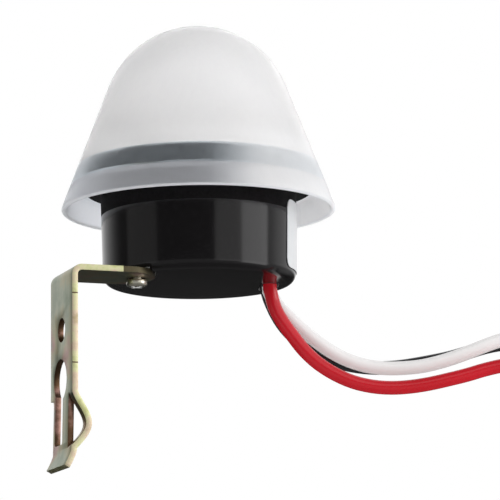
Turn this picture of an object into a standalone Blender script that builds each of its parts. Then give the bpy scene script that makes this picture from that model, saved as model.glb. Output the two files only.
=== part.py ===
"""Dusk-to-dawn photocell switch: frosted dome, black base, sheet-metal wall bracket and three leads.

Metres, +Z up. The origin is on the outer face of the bracket, on its centreline,
between the small fixing hole and the keyhole. The bracket's outer face looks along -X.
"""
import math

import bmesh
import bpy
from mathutils import Vector

MM = 0.001
GAP = 0.3 * MM  # clearance left between pieces that touch
OVERCUT = 1.0 * MM  # how far a cutter reaches past what it cuts

# Wall bracket, pressed from one strip of plated sheet
SHEET = 1.3 * MM
STRIP_WIDTH = 16.2 * MM
BRACKET_RISE = 19.9 * MM  # top face of the foot above the origin
BRACKET_DROP = 24.8 * MM  # tip below the origin
FOOT_LENGTH = 21.4 * MM
FOOT_CORNER_RADIUS = 7.9 * MM
BEND_RADIUS = 1.0 * MM  # inside of the bend
SCREW_FROM_WALL = 17.6 * MM
FIXING_HOLE_RADIUS = 2.7 * MM
FIXING_HOLE_HEIGHT = 6.2 * MM
KEYHOLE_RADIUS = 4.75 * MM
KEYHOLE_HEIGHT = -4.9 * MM
KEYHOLE_SHIFT = 1.0 * MM  # the keyhole is a little off the centreline
SLOT_NEAR = -1.1 * MM
SLOT_WIDTH = 5.5 * MM
SLOT_BOTTOM = -19.3 * MM
SLOT_CORNER = 0.8 * MM
STRAP_WIDTH = 2.6 * MM
STRAP_TOP = -8.3 * MM
STRAP_LENGTH = 12.3 * MM
STRAP_BULGE = 3.3 * MM
STRAP_SKEW = 1.23  # above 1 the strap stands out furthest below its middle
LANCE_CUT = 0.35 * MM  # width of the shear cut beside the strap
STEP_HEIGHT = -8.9 * MM  # below this the strip is narrower at the far side
STEP_DEPTH = 2.4 * MM
STEP_RADIUS = 1.2 * MM
LEAN_START = -7.0 * MM
LEAN = 0.3 * MM
FLARE = 1.6 * MM
FLARE_LENGTH = 3.6 * MM

# Base housing, a moulded cup with a flange and a ring that carries the dome
AXIS_SHIFT = 7.0 * MM
CUP_TOP_RADIUS = 22.5 * MM
CUP_TAPER = 0.45 * MM  # how much narrower the cup is at its bottom
CUP_HEIGHT = 21.5 * MM  # cup bottom to flange underside
CUP_EDGE_RADIUS = 2.1 * MM
CUP_WALL = 1.9 * MM
CUP_FLOOR = 2.0 * MM
FOOT_RECESS = 0.9 * MM  # pocket in the cup's underside for the bracket's foot
FLANGE_THICKNESS = 2.2 * MM
FLANGE_LIP = 1.6 * MM  # how far the flange edge slopes in below the ring
RING_BOTTOM = 1.9 * MM  # above the flange underside
RING_HEIGHT = 3.8 * MM
RING_WALL = 2.0 * MM
BOSS_RADIUS = 2.7 * MM
BOSS_INSET = 3.6 * MM  # boss centre in from the cup's outside
SCREW_INSET = 5.1 * MM  # bracket screw in from the cup's outside, square to the wall
PILOT_RADIUS = 1.0 * MM
PILOT_DEPTH = 10.0 * MM

# Dome cover
SKIRT_OVERHANG = 9.5 * MM  # dome rim out from the top of the cup
DOME_CROWN_RADIUS = 22.0 * MM
DOME_HEIGHT = 43.4 * MM
DOME_WALL = 1.2 * MM
SKIRT_DROP = 4.7 * MM  # dome rim below the flange underside
BEAD_HEIGHT = 0.9 * MM
RIB_DEPTH = 0.9 * MM
RIB_WIDTH = 1.1 * MM

# Label on the cup wall, in degrees round the body axis
LABEL_FROM = -44.0
LABEL_TO = 48.0
LABEL_HEIGHT = 16.4 * MM
LABEL_BELOW_FLANGE = 2.3 * MM
LABEL_THICKNESS = 0.2 * MM

# Fasteners
SCREW_RADIUS = 1.5 * MM
SCREW_HEAD_RADIUS = 2.4 * MM
SCREW_HEAD_HEIGHT = 1.7 * MM
RECESS_WIDTH = 0.8 * MM
RECESS_DEPTH = 1.0 * MM
SCREW_LENGTH = 9.0 * MM
PILLAR_WALL = 1.2 * MM  # round the bracket screw, inside the cup
PILLAR_HEIGHT = 9.0 * MM
BOARD_SCREW_RADIUS = 0.8 * MM
BOARD_SCREW_HEAD_RADIUS = 2.3 * MM
BOARD_SCREW_HEAD_HEIGHT = 1.5 * MM
BOARD_SCREW_LENGTH = 8.0 * MM

# Circuit board and what stands on it
BOARD_THICKNESS = 1.6 * MM
BOARD_EDGE_GAP = 0.4 * MM
DRAWN_BOARD_RADIUS = 23.9 * MM  # the parts' sizes below are for a board of this radius
RELAY_SIZE = (19.0 * MM, 15.5 * MM, 15.0 * MM)
FILM_CAPACITOR_SIZE = (13.0 * MM, 6.0 * MM, 11.0 * MM)
CASE_ROUNDING = 0.7 * MM
ELECTROLYTIC_RADIUS = 4.0 * MM
ELECTROLYTIC_HEIGHT = 11.5 * MM
DIODE_RADIUS = 1.35 * MM
DIODE_LENGTH = 5.2 * MM
ZENER_RADIUS = 0.95 * MM
ZENER_LENGTH = 3.8 * MM
RESISTOR_RADIUS = 1.2 * MM
RESISTOR_LENGTH = 6.3 * MM
LEG_PITCH = 9.0 * MM
LEG_DIAMETER = 0.7 * MM
LEG_BEND = 0.8 * MM
AXIAL_LIFT = 0.4 * MM  # an axial part's body above the board
TRANSISTOR_RADIUS = 2.35 * MM
TRANSISTOR_HEIGHT = 4.6 * MM
TRANSISTOR_FLAT = 1.1 * MM
VARISTOR_RADIUS = 3.6 * MM
VARISTOR_THICKNESS = 3.0 * MM
PHOTORESISTOR_RADIUS = 2.55 * MM
PHOTORESISTOR_THICKNESS = 2.0 * MM
PHOTORESISTOR_STAND = 12.0 * MM
SHORT_LEGS = 2.0 * MM

# Leads
LEAD_DIAMETER = 3.2 * MM
CONDUCTOR_DIAMETER = 1.7 * MM
STRIPPED_LENGTH = 8.0 * MM
LEAD_STRAIGHT = 1.0 * MM  # straight down out of the outlet
LEAD_STEP = 5.0 * MM  # spacing of the points along a lead
OUTLET_INSET = 6.0 * MM  # middle of the row of leads, in from the cup's outside
OUTLET_TURN = -4.9  # the same point in degrees round the body axis
OUTLET_ROW = 73.0  # the way the row runs, in degrees from +X
OUTLET_PITCH = 3.55 * MM
SEAL_MARGIN = 0.25 * MM
SEAL_FLANGE = 0.4 * MM
SEAL_FLANGE_HEIGHT = 1.5 * MM

ROUND_STEPS = 52
HOLE_STEPS = 32

# What follows from the sizes above
CUP_BOTTOM_RADIUS = CUP_TOP_RADIUS - CUP_TAPER
DOME_RIM_RADIUS = CUP_TOP_RADIUS + SKIRT_OVERHANG
AXIS_FROM_WALL = SCREW_FROM_WALL + CUP_TOP_RADIUS - SCREW_INSET
BOSS_FROM_AXIS = CUP_TOP_RADIUS - BOSS_INSET
OUTLET_FROM_AXIS = CUP_TOP_RADIUS - OUTLET_INSET
CUP_BOTTOM = BRACKET_RISE + GAP - FOOT_RECESS
CUP_INSIDE = CUP_BOTTOM + CUP_FLOOR
FLANGE_UNDER = CUP_BOTTOM + CUP_HEIGHT
FLANGE_TOP = FLANGE_UNDER + FLANGE_THICKNESS
RING_LOW = FLANGE_UNDER + RING_BOTTOM
RING_TOP = RING_LOW + RING_HEIGHT
RIM_HEIGHT = FLANGE_UNDER - SKIRT_DROP
BOARD_BOTTOM = FLANGE_TOP + GAP
BOARD_TOP = BOARD_BOTTOM + BOARD_THICKNESS
CROWN_CENTRE = RIM_HEIGHT + DOME_HEIGHT - DOME_CROWN_RADIUS
SEAL_HALF_WIDTH = LEAD_DIAMETER / 2 + SEAL_MARGIN
BODY_AXIS = Vector((AXIS_FROM_WALL, AXIS_SHIFT, 0.0))


def new_collection(name):
    collection = bpy.data.collections.new(name)
    bpy.context.scene.collection.children.link(collection)
    return collection


def clear_scene():
    for thing in list(bpy.data.objects):
        bpy.data.objects.remove(thing, do_unlink=True)


clear_scene()
PARTS = new_collection("photocell_switch")
CUTTERS = new_collection("cutters")


def finish(name, colour, roughness, metallic=0.0):
    material = bpy.data.materials.new(name)
    material.use_nodes = True
    shader = material.node_tree.nodes["Principled BSDF"]
    shader.inputs["Base Color"].default_value = (*colour, 1.0)
    shader.inputs["Roughness"].default_value = roughness
    shader.inputs["Metallic"].default_value = metallic
    material.diffuse_color = (*colour, 1.0)
    return material


def place(name, data, material, cutter=False):
    thing = bpy.data.objects.new(name, data)
    (CUTTERS if cutter else PARTS).objects.link(thing)
    if material:
        data.materials.append(material)
    if cutter:
        thing.hide_render = True
        thing.display_type = "WIRE"
    return thing


def boolean(target, tool, operation):
    modifier = target.modifiers.new(f"{operation.lower()} {tool.name}", "BOOLEAN")
    modifier.operation = operation
    modifier.solver = "EXACT"
    modifier.object = tool


def cut(target, *tools):
    for tool in tools:
        boolean(target, tool, "DIFFERENCE")


def join(target, *tools):
    for tool in tools:
        boolean(target, tool, "UNION")


def arc(centre_r, centre_z, radius, start, end, count):
    """Points of a circular arc in the profile plane, angles in degrees from +r towards +z."""
    angles = [math.radians(start + (end - start) * i / count) for i in range(count + 1)]
    return [(centre_r + radius * math.cos(a), centre_z + radius * math.sin(a)) for a in angles]


def turned(name, profile, centre, material=None, steps=ROUND_STEPS, closed=False, cutter=False):
    """A solid turned about a vertical axis through centre. The profile runs down its outer side."""
    mesh = bpy.data.meshes.new(name)
    edges = [(i, i + 1) for i in range(len(profile) - 1)]
    if closed:
        edges.append((len(profile) - 1, 0))
    mesh.from_pydata([(r, 0.0, z) for r, z in profile], edges, [])
    thing = place(name, mesh, material, cutter)
    thing.location = centre
    screw = thing.modifiers.new("turn", "SCREW")
    screw.steps = steps
    screw.render_steps = steps
    screw.use_merge_vertices = True
    screw.merge_threshold = 0.00001
    screw.use_smooth_shade = True
    return thing


def cylinder(name, radius, bottom, top, centre, material=None, steps=HOLE_STEPS, cutter=False):
    profile = [(0.0, top), (radius, top), (radius, bottom), (0.0, bottom)]
    return turned(name, profile, centre, material, steps, cutter=cutter)


def block(name, low, high, material=None, rounding=0.0, cutter=False):
    shape = bmesh.new()
    bmesh.ops.create_cube(shape, size=1.0)
    size = [h - l for l, h in zip(low, high)]
    middle = [(h + l) / 2 for l, h in zip(low, high)]
    bmesh.ops.scale(shape, vec=size, verts=shape.verts)
    bmesh.ops.translate(shape, vec=middle, verts=shape.verts)
    mesh = bpy.data.meshes.new(name)
    shape.to_mesh(mesh)
    shape.free()
    thing = place(name, mesh, material, cutter)
    if rounding:
        bevel = thing.modifiers.new("rounding", "BEVEL")
        bevel.width = rounding
        bevel.segments = 2
        bevel.limit_method = "NONE"
    return thing


def prism(name, outline, bottom, top, material=None, cutter=False):
    """A flat outline in X and Y, raised from bottom to top."""
    curve = bpy.data.curves.new(name, "CURVE")
    curve.dimensions = "2D"
    curve.fill_mode = "BOTH"
    curve.extrude = (top - bottom) / 2
    spline = curve.splines.new("POLY")
    spline.points.add(len(outline) - 1)
    for point, (x, y) in zip(spline.points, outline):
        point.co = (x, y, 0.0, 1.0)
    spline.use_cyclic_u = True
    outline_curve = place(name, curve, None, cutter)
    outline_curve.location = (0.0, 0.0, (bottom + top) / 2)
    return as_mesh(outline_curve, material, cutter)


def tube(name, points, diameter, material):
    """A round wire along points, with closed ends."""
    curve = bpy.data.curves.new(name, "CURVE")
    curve.dimensions = "3D"
    curve.bevel_depth = diameter / 2
    curve.bevel_resolution = 2
    curve.use_fill_caps = True
    spline = curve.splines.new("POLY")
    spline.points.add(len(points) - 1)
    for point, place_at in zip(spline.points, points):
        point.co = (*place_at, 1.0)
    return place(name, curve, material)


def as_mesh(thing, material, cutter=False):
    """The curve as a mesh object with its caps welded on, in the same place."""
    bpy.context.view_layer.update()
    evaluated = thing.evaluated_get(bpy.context.evaluated_depsgraph_get())
    mesh = bpy.data.meshes.new_from_object(evaluated)
    mesh.materials.clear()
    shape = bmesh.new()
    shape.from_mesh(mesh)
    bmesh.ops.remove_doubles(shape, verts=shape.verts, dist=0.000002)
    bmesh.ops.recalc_face_normals(shape, faces=shape.faces)
    shape.to_mesh(mesh)
    shape.free()
    name = thing.name
    matrix = thing.matrix_world.copy()
    bpy.data.objects.remove(thing, do_unlink=True)
    solid = place(name, mesh, material, cutter)
    solid.matrix_world = matrix
    return solid


def turn_along_x(thing, x, y, z):
    """Lays a piece that was modelled along Z so that it runs along X from that point."""
    thing.rotation_euler = (0.0, math.pi / 2, 0.0)
    thing.location = (x, y, z)


def smooth_route(points, spacing):
    """Points about spacing apart on one smooth curve through the given points."""
    padded = [points[0] * 2 - points[1], *points, points[-1] * 2 - points[-2]]
    route = [points[0].copy()]
    for i in range(len(points) - 1):
        a, b, c, d = padded[i:i + 4]
        count = max(1, round((c - b).length / spacing))
        for step in range(1, count + 1):
            t = step / count
            cubic = (b * 3 - c * 3 + d - a) * t ** 3
            square = (a * 2 - b * 5 + c * 4 - d) * t ** 2
            route.append(b + ((c - a) * t + square + cubic) * 0.5)
    return route


# Dome geometry: a crown of one radius that runs tangent into a straight cone

def cone_angle():
    """Slope of the dome's side from the vertical, from the tangent out of the rim to the crown."""
    to_crown = math.hypot(DOME_RIM_RADIUS, CROWN_CENTRE - RIM_HEIGHT)
    lean = math.atan2(DOME_RIM_RADIUS, CROWN_CENTRE - RIM_HEIGHT)
    return lean - math.asin(DOME_CROWN_RADIUS / to_crown)


CONE = cone_angle()


def cone_radius(height, inward):
    """Radius of the cone at a height, moved inward square to its surface."""
    outer = DOME_RIM_RADIUS - (height - RIM_HEIGHT) * math.tan(CONE)
    return outer - inward / math.cos(CONE)


def dome_cover(material):
    slope = math.degrees(CONE)
    lip = DOME_WALL / 2
    bead_top = RING_LOW - GAP
    bead_middle = bead_top - BEAD_HEIGHT / 2
    bead_bottom = bead_top - BEAD_HEIGHT
    rib_low = RING_TOP + GAP
    rib_high = rib_low + RIB_WIDTH
    inside = DOME_CROWN_RADIUS - DOME_WALL
    lip_height = RIM_HEIGHT + lip
    lip_radius = cone_radius(lip_height, lip)
    profile = arc(0.0, CROWN_CENTRE, DOME_CROWN_RADIUS, 90.0, slope, 10)
    profile += arc(lip_radius, lip_height, lip, slope, slope - 180.0, 4)
    profile += [
        (cone_radius(bead_bottom, DOME_WALL), bead_bottom),
        (cone_radius(bead_middle, DOME_WALL + BEAD_HEIGHT), bead_middle),
        (cone_radius(bead_top, DOME_WALL), bead_top),
        (cone_radius(rib_low, DOME_WALL), rib_low),
        (cone_radius(rib_low, DOME_WALL + RIB_DEPTH), rib_low),
        (cone_radius(rib_high, DOME_WALL + RIB_DEPTH), rib_high),
        (cone_radius(rib_high + RIB_DEPTH, DOME_WALL), rib_high + RIB_DEPTH),
    ]
    profile += arc(0.0, CROWN_CENTRE, inside, slope, 90.0, 7)
    profile[0] = (0.0, profile[0][1])
    profile[-1] = (0.0, profile[-1][1])
    return turned("dome_cover", profile, BODY_AXIS, material)


def cup_radius(height):
    """Outer radius of the cup's tapered wall at a height."""
    share = (height - CUP_BOTTOM) / CUP_HEIGHT
    return CUP_BOTTOM_RADIUS + (CUP_TOP_RADIUS - CUP_BOTTOM_RADIUS) * share


def ring_inner_radius():
    return cone_radius(RING_TOP, DOME_WALL + GAP) - RING_WALL


def base_housing(material):
    ring_inner = ring_inner_radius()
    inner_low = cup_radius(CUP_INSIDE) - CUP_WALL
    inner_high = cup_radius(FLANGE_TOP) - CUP_WALL
    ring_out_low = cone_radius(RING_LOW, DOME_WALL + GAP)
    ring_out_top = cone_radius(RING_TOP, DOME_WALL + GAP)
    edge = CUP_EDGE_RADIUS
    profile = [
        (0.0, CUP_INSIDE),
        (inner_low - GAP, CUP_INSIDE),
        (inner_low, CUP_INSIDE + GAP),
        (inner_high, FLANGE_TOP),
        (ring_inner, FLANGE_TOP),
        (ring_inner, RING_TOP),
        (ring_out_top, RING_TOP),
        (ring_out_low, RING_LOW),
        (ring_out_low - FLANGE_LIP, FLANGE_UNDER),
        (CUP_TOP_RADIUS, FLANGE_UNDER),
    ]
    profile += arc(CUP_BOTTOM_RADIUS - edge, CUP_BOTTOM + edge, edge, 0.0, -90.0, 5)
    profile.append((0.0, CUP_BOTTOM))
    housing = turned("base_housing", profile, BODY_AXIS, material)
    for side, sign in (("far", 1), ("near", -1)):
        centre = BODY_AXIS + Vector((0.0, sign * BOSS_FROM_AXIS, 0.0))
        top = FLANGE_TOP - GAP
        boss = cylinder(
            f"boss_{side}", BOSS_RADIUS, CUP_BOTTOM + CUP_FLOOR / 2, top, centre, steps=24, cutter=True
        )
        pilot = cylinder(
            f"pilot_{side}", PILOT_RADIUS, top - PILOT_DEPTH, top + OVERCUT, centre, steps=16, cutter=True
        )
        join(housing, boss)
        cut(housing, pilot)
    below = CUP_BOTTOM - OVERCUT
    bore = SCREW_RADIUS + GAP
    pillar_top = CUP_BOTTOM + PILLAR_HEIGHT
    pillar = cylinder(
        "screw_pillar", bore + PILLAR_WALL, CUP_BOTTOM + CUP_FLOOR / 2, pillar_top,
        screw_centre(), steps=24, cutter=True,
    )
    join(housing, pillar)
    screw_hole = cylinder(
        "housing_screw_hole", bore, below, pillar_top + OVERCUT, screw_centre(), steps=24, cutter=True
    )
    lead_hole = prism("housing_lead_hole", outlet_outline(GAP), below, CUP_INSIDE + OVERCUT, cutter=True)
    lead_hole.location += BODY_AXIS
    cut(housing, screw_hole, lead_hole, foot_pocket())
    return housing


def foot_pocket():
    """The pocket that the bracket's foot sits in, open at the cup's side."""
    end = FOOT_LENGTH + GAP
    half = STRIP_WIDTH / 2 + GAP
    corner = FOOT_CORNER_RADIUS + GAP
    outline = [(0.0, half), (0.0, -half)]
    outline += arc(end - corner, corner - half, corner, -90.0, 0.0, 8)
    outline += arc(end - corner, half - corner, corner, 0.0, 90.0, 8)
    return prism("foot_pocket", outline, CUP_BOTTOM - OVERCUT, CUP_BOTTOM + FOOT_RECESS, cutter=True)


def screw_centre():
    return Vector((SCREW_FROM_WALL, 0.0, 0.0))


def strap_bulge(share):
    """How far the lanced strap stands in from the strip, share 0 at its top and 1 at its bottom."""
    rise = math.sin(math.pi * share ** STRAP_SKEW)
    return STRAP_BULGE * rise * (1.0 + 0.12 * (rise - 1.0))


def bracket_stations():
    """The strip's centre plane in side view, as (x, z, bulge)."""
    half = SHEET / 2
    mid_radius = BEND_RADIUS + half
    foot_z = BRACKET_RISE - half
    stations = [(FOOT_LENGTH, foot_z, 0.0)]
    bend_x = half + mid_radius
    bend_z = foot_z - mid_radius
    for i in range(7):
        angle = math.radians(90.0 + 15.0 * i)
        x = bend_x + mid_radius * math.cos(angle)
        z = bend_z + mid_radius * math.sin(angle)
        stations.append((x, z, 0.0))
    stations.append((half, LEAN_START, 0.0))
    strap_steps = 12
    flare_start = -BRACKET_DROP + FLARE_LENGTH
    run = LEAN_START - flare_start
    for i in range(strap_steps + 1):
        share = i / strap_steps
        z = STRAP_TOP - STRAP_LENGTH * share
        x = half - LEAN * (LEAN_START - z) / run
        stations.append((x, z, strap_bulge(share)))
    stations.append((half - LEAN, flare_start, 0.0))
    for i in range(1, 4):
        share = i / 3
        x = half - LEAN - FLARE * share ** 1.3
        stations.append((x, flare_start - FLARE_LENGTH * share, 0.0))
    return stations


def mounting_bracket(material):
    stations = bracket_stations()
    near = -STRIP_WIDTH / 2
    lance = near + STRAP_WIDTH
    columns = [near, lance - LANCE_CUT / 2, lance + LANCE_CUT / 2, STRIP_WIDTH / 2]
    sheet = bmesh.new()
    bmesh.ops.create_grid(sheet, x_segments=len(columns) - 1, y_segments=len(stations) - 1, size=1.0)
    for vertex in sheet.verts:
        column = round((vertex.co.x + 1.0) / 2.0 * (len(columns) - 1))
        row = round((vertex.co.y + 1.0) / 2.0 * (len(stations) - 1))
        x, z, bulge = stations[row]
        vertex.co = (x + (bulge if column < 2 else 0.0), columns[column], z)
    lanced = []
    for face in sheet.faces:
        middle = face.calc_center_median()
        in_cut = columns[1] < middle.y < columns[2]
        if in_cut and STRAP_TOP - STRAP_LENGTH < middle.z < STRAP_TOP:
            lanced.append(face)
    bmesh.ops.delete(sheet, geom=lanced, context="FACES")
    bmesh.ops.recalc_face_normals(sheet, faces=sheet.faces)
    mesh = bpy.data.meshes.new("mounting_bracket")
    sheet.to_mesh(mesh)
    sheet.free()
    bracket = place("mounting_bracket", mesh, material)
    wall = bracket.modifiers.new("sheet thickness", "SOLIDIFY")
    wall.thickness = SHEET
    wall.offset = 0.0
    wall.use_even_offset = True
    cut(bracket, *bracket_cutters())
    return bracket


def bracket_cutters():
    low, high = -SHEET - OVERCUT, 2 * SHEET + OVERCUT
    fixing = cylinder("fixing_hole", FIXING_HOLE_RADIUS, low, high, (0.0, 0.0, 0.0), cutter=True)
    turn_along_x(fixing, 0.0, 0.0, FIXING_HOLE_HEIGHT)
    keyhole = cylinder("keyhole", KEYHOLE_RADIUS, low, high, (0.0, 0.0, 0.0), steps=40, cutter=True)
    turn_along_x(keyhole, 0.0, KEYHOLE_SHIFT, KEYHOLE_HEIGHT)
    far = SLOT_NEAR + SLOT_WIDTH
    round_end = SLOT_CORNER
    slot_outline = [(-SLOT_NEAR, KEYHOLE_HEIGHT), (-far, KEYHOLE_HEIGHT)]
    slot_outline += arc(-far + round_end, SLOT_BOTTOM + round_end, round_end, 180.0, 270.0, 3)
    slot_outline += arc(-SLOT_NEAR - round_end, SLOT_BOTTOM + round_end, round_end, 270.0, 360.0, 3)
    slot = side_prism("keyhole_slot", slot_outline)
    edge = -STRIP_WIDTH / 2
    inner = edge + STEP_DEPTH
    step_outline = [(edge - OVERCUT, STEP_HEIGHT), (inner - STEP_RADIUS, STEP_HEIGHT)]
    step_outline += arc(inner - STEP_RADIUS, STEP_HEIGHT - STEP_RADIUS, STEP_RADIUS, 90.0, 0.0, 4)[1:]
    below = -BRACKET_DROP - OVERCUT
    step_outline += [(inner, below), (edge - OVERCUT, below)]
    step = side_prism("far_step", step_outline)
    screw_hole = cylinder(
        "foot_screw_hole", SCREW_RADIUS + GAP, BRACKET_RISE - SHEET - OVERCUT, BRACKET_RISE + OVERCUT,
        screw_centre(), steps=24, cutter=True,
    )
    return [fixing, keyhole, slot, step, screw_hole, foot_corner(1), foot_corner(-1)]


def side_prism(name, outline):
    """A cutter with an outline given as (-y, z), that goes through the upright strip along X."""
    outside = -(LEAN + FLARE + OVERCUT)
    inside = SHEET + OVERCUT
    solid = prism(name, outline, outside, inside, cutter=True)
    solid.rotation_euler = (math.pi / 2, 0.0, -math.pi / 2)
    solid.location = ((outside + inside) / 2, 0.0, 0.0)
    return solid


def foot_corner(side):
    """What the press takes off one corner of the foot."""
    r = FOOT_CORNER_RADIUS
    half = STRIP_WIDTH / 2
    outline = arc(FOOT_LENGTH - r, half - r, r, 90.0, 0.0, 8)
    past = FOOT_LENGTH + OVERCUT
    outline += [(past, half - r), (past, half + OVERCUT), (FOOT_LENGTH - r, half + OVERCUT)]
    outline = [(x, side * y) for x, y in outline]
    name = "foot_corner_far" if side > 0 else "foot_corner_near"
    return prism(name, outline, BRACKET_RISE - SHEET - OVERCUT, BRACKET_RISE + OVERCUT, cutter=True)


def pan_head_screw(name, shank_radius, head_radius, head_height, shank_length, material):
    """A pan-head screw along Z, head down, seat of the head at z = 0. It has a cross recess."""
    crown = head_height * 0.45
    profile = [(0.0, shank_length), (shank_radius * 0.75, shank_length)]
    profile += [(shank_radius, shank_length - shank_radius * 0.4), (shank_radius, 0.0), (head_radius, 0.0)]
    profile += [(head_radius, -crown), (head_radius * 0.9, -head_height * 0.78)]
    profile += [(head_radius * 0.62, -head_height), (0.0, -head_height)]
    screw = turned(name, profile, (0.0, 0.0, 0.0), material, steps=24)
    bottom = -head_height - OVERCUT
    reach = head_radius * 0.62
    half = RECESS_WIDTH / 2
    deep = -head_height + RECESS_DEPTH
    slots = [
        block(f"{name}_recess_x", (-reach, -half, bottom), (reach, half, deep), cutter=True),
        block(f"{name}_recess_y", (-half, -reach, bottom), (half, reach, deep), cutter=True),
    ]
    for slot in slots:
        slot.parent = screw
    cut(screw, *slots)
    return screw


def bracket_screw(material):
    head_seat = BRACKET_RISE - SHEET - GAP
    screw = pan_head_screw(
        "bracket_screw", SCREW_RADIUS, SCREW_HEAD_RADIUS, SCREW_HEAD_HEIGHT, SCREW_LENGTH, material
    )
    screw.location = screw_centre() + Vector((0.0, 0.0, head_seat))
    screw.rotation_euler = (0.0, 0.0, math.radians(25.0))


def outlet_spot(step):
    """Where a lead leaves, from the body axis, as steps along the row from its middle."""
    turn, row = math.radians(OUTLET_TURN), math.radians(OUTLET_ROW)
    along = step * OUTLET_PITCH
    x = OUTLET_FROM_AXIS * math.cos(turn) + along * math.cos(row)
    y = OUTLET_FROM_AXIS * math.sin(turn) + along * math.sin(row)
    return x, y


def outlet_outline(margin):
    """The round-ended slot that the leads leave by, grown by a margin, from the body axis."""
    half = SEAL_HALF_WIDTH + margin
    outline = []
    for step, start in ((1, OUTLET_ROW - 90.0), (-1, OUTLET_ROW + 90.0)):
        x, y = outlet_spot(step)
        outline += arc(x, y, half, start, start + 180.0, 8)
    return outline


def cable_seal(material):
    seat = CUP_INSIDE + GAP
    flange_top = seat + SEAL_FLANGE_HEIGHT
    plug = prism("cable_seal", outlet_outline(0.0), CUP_BOTTOM, flange_top - SEAL_FLANGE_HEIGHT / 2, material)
    plug.location += BODY_AXIS
    flange = prism("seal_flange", outlet_outline(SEAL_FLANGE), seat, flange_top, material, cutter=True)
    flange.location += BODY_AXIS
    join(plug, flange)


def rating_label(material):
    top = FLANGE_UNDER - LABEL_BELOW_FLANGE
    bottom = top - LABEL_HEIGHT
    mesh = bpy.data.meshes.new("rating_label")
    mesh.from_pydata(
        [(cup_radius(top) + GAP, 0.0, top), (cup_radius(bottom) + GAP, 0.0, bottom)], [(0, 1)], []
    )
    label = place("rating_label", mesh, material)
    label.location = BODY_AXIS
    label.rotation_euler = (0.0, 0.0, math.radians(LABEL_FROM))
    screw = label.modifiers.new("wrap", "SCREW")
    screw.angle = math.radians(LABEL_TO - LABEL_FROM)
    screw.steps = 16
    screw.render_steps = 16
    screw.use_merge_vertices = False
    wall = label.modifiers.new("paper thickness", "SOLIDIFY")
    wall.thickness = LABEL_THICKNESS
    wall.offset = 1.0


def board_radius():
    return ring_inner_radius() - BOARD_EDGE_GAP


def part_fit():
    """How much larger or smaller the board is than the one its parts are drawn for."""
    return board_radius() / DRAWN_BOARD_RADIUS


def circuit_board(material):
    board = cylinder(
        "circuit_board", board_radius(), BOARD_BOTTOM, BOARD_TOP, BODY_AXIS, material, steps=ROUND_STEPS
    )
    for side, sign in (("far", 1), ("near", -1)):
        centre = BODY_AXIS + Vector((0.0, sign * BOSS_FROM_AXIS, 0.0))
        hole = cylinder(
            f"board_hole_{side}", BOARD_SCREW_RADIUS + GAP, BOARD_BOTTOM - OVERCUT, BOARD_TOP + OVERCUT,
            centre, steps=16, cutter=True,
        )
        cut(board, hole)


def board_screws(material):
    for number, sign in ((1, 1), (2, -1)):
        screw = pan_head_screw(
            f"board_screw_{number}", BOARD_SCREW_RADIUS, BOARD_SCREW_HEAD_RADIUS,
            BOARD_SCREW_HEAD_HEIGHT, BOARD_SCREW_LENGTH, material,
        )
        screw.location = BODY_AXIS + Vector((0.0, sign * BOSS_FROM_AXIS, BOARD_TOP + GAP))
        screw.rotation_euler = (math.pi, 0.0, math.radians(20.0 * number))


def on_board(x, y):
    """A point above the board. x and y are shares of the board's radius, from the body axis."""
    reach = board_radius()
    return BODY_AXIS + Vector((x * reach, y * reach, BOARD_TOP + GAP))


def boxed_part(name, size, x, y, material):
    fit = part_fit()
    length, width, height = (side * fit for side in size)
    corner = on_board(x, y) - Vector((length / 2, width / 2, 0.0))
    block(name, corner, corner + Vector((length, width, height)), material, rounding=CASE_ROUNDING * fit)


def electrolytic_capacitor(x, y, material):
    r = ELECTROLYTIC_RADIUS * part_fit()
    top = ELECTROLYTIC_HEIGHT * part_fit()
    groove = r * 0.5
    profile = [(0.0, top), (r * 0.82, top), (r, top - r * 0.12), (r, groove * 1.3)]
    profile += [(r * 0.93, groove), (r, groove * 0.7), (r, 0.0), (0.0, 0.0)]
    turned("electrolytic_capacitor", profile, on_board(x, y), material, steps=28)


def axial_part(name, profile, x, y, angle, material, leg_material):
    """A small round part lying on the board, with its legs bent down to it."""
    fit = part_fit()
    widest = max(r for r, _ in profile)
    height = widest + AXIAL_LIFT * fit
    body = turned(name, profile, (0.0, 0.0, 0.0), material, steps=12)
    half = LEG_PITCH * fit / 2
    corner = LEG_BEND * fit
    path = [
        (-half, 0.0, 0.0), (-half, 0.0, height - corner), (-half + 0.3 * corner, 0.0, height - 0.3 * corner),
        (-half + corner, 0.0, height), (half - corner, 0.0, height),
        (half - 0.3 * corner, 0.0, height - 0.3 * corner), (half, 0.0, height - corner), (half, 0.0, 0.0),
    ]
    wire = tube(f"{name}_legs", path, LEG_DIAMETER * fit, leg_material)
    legs = as_mesh(wire, leg_material, cutter=True)
    origin = on_board(x, y)
    legs.location = origin
    legs.rotation_euler = (0.0, 0.0, angle)
    body.location = origin + Vector((0.0, 0.0, height))
    body.rotation_euler = (0.0, math.pi / 2, angle)
    join(body, legs)


def rod_profile(radius, length):
    """Profile of a small cylinder with softened ends, lying along its own Z."""
    r = radius * part_fit()
    half = length * part_fit() / 2
    edge = r * 0.25
    outer = [(r - edge, half), (r, half - edge), (r, -half + edge), (r - edge, -half)]
    return [(0.0, half), *outer, (0.0, -half)]


def resistor_profile():
    """A slim body between two fatter end caps."""
    r = RESISTOR_RADIUS * part_fit()
    half = RESISTOR_LENGTH * part_fit() / 2
    waist = r * 0.83
    edge = r * 0.25
    cap = half * 0.44
    profile = [(0.0, half), (r - edge, half), (r, half - edge), (r, half - cap), (waist, half - cap * 1.4)]
    return profile + [(x, -z) for x, z in reversed(profile)]


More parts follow.
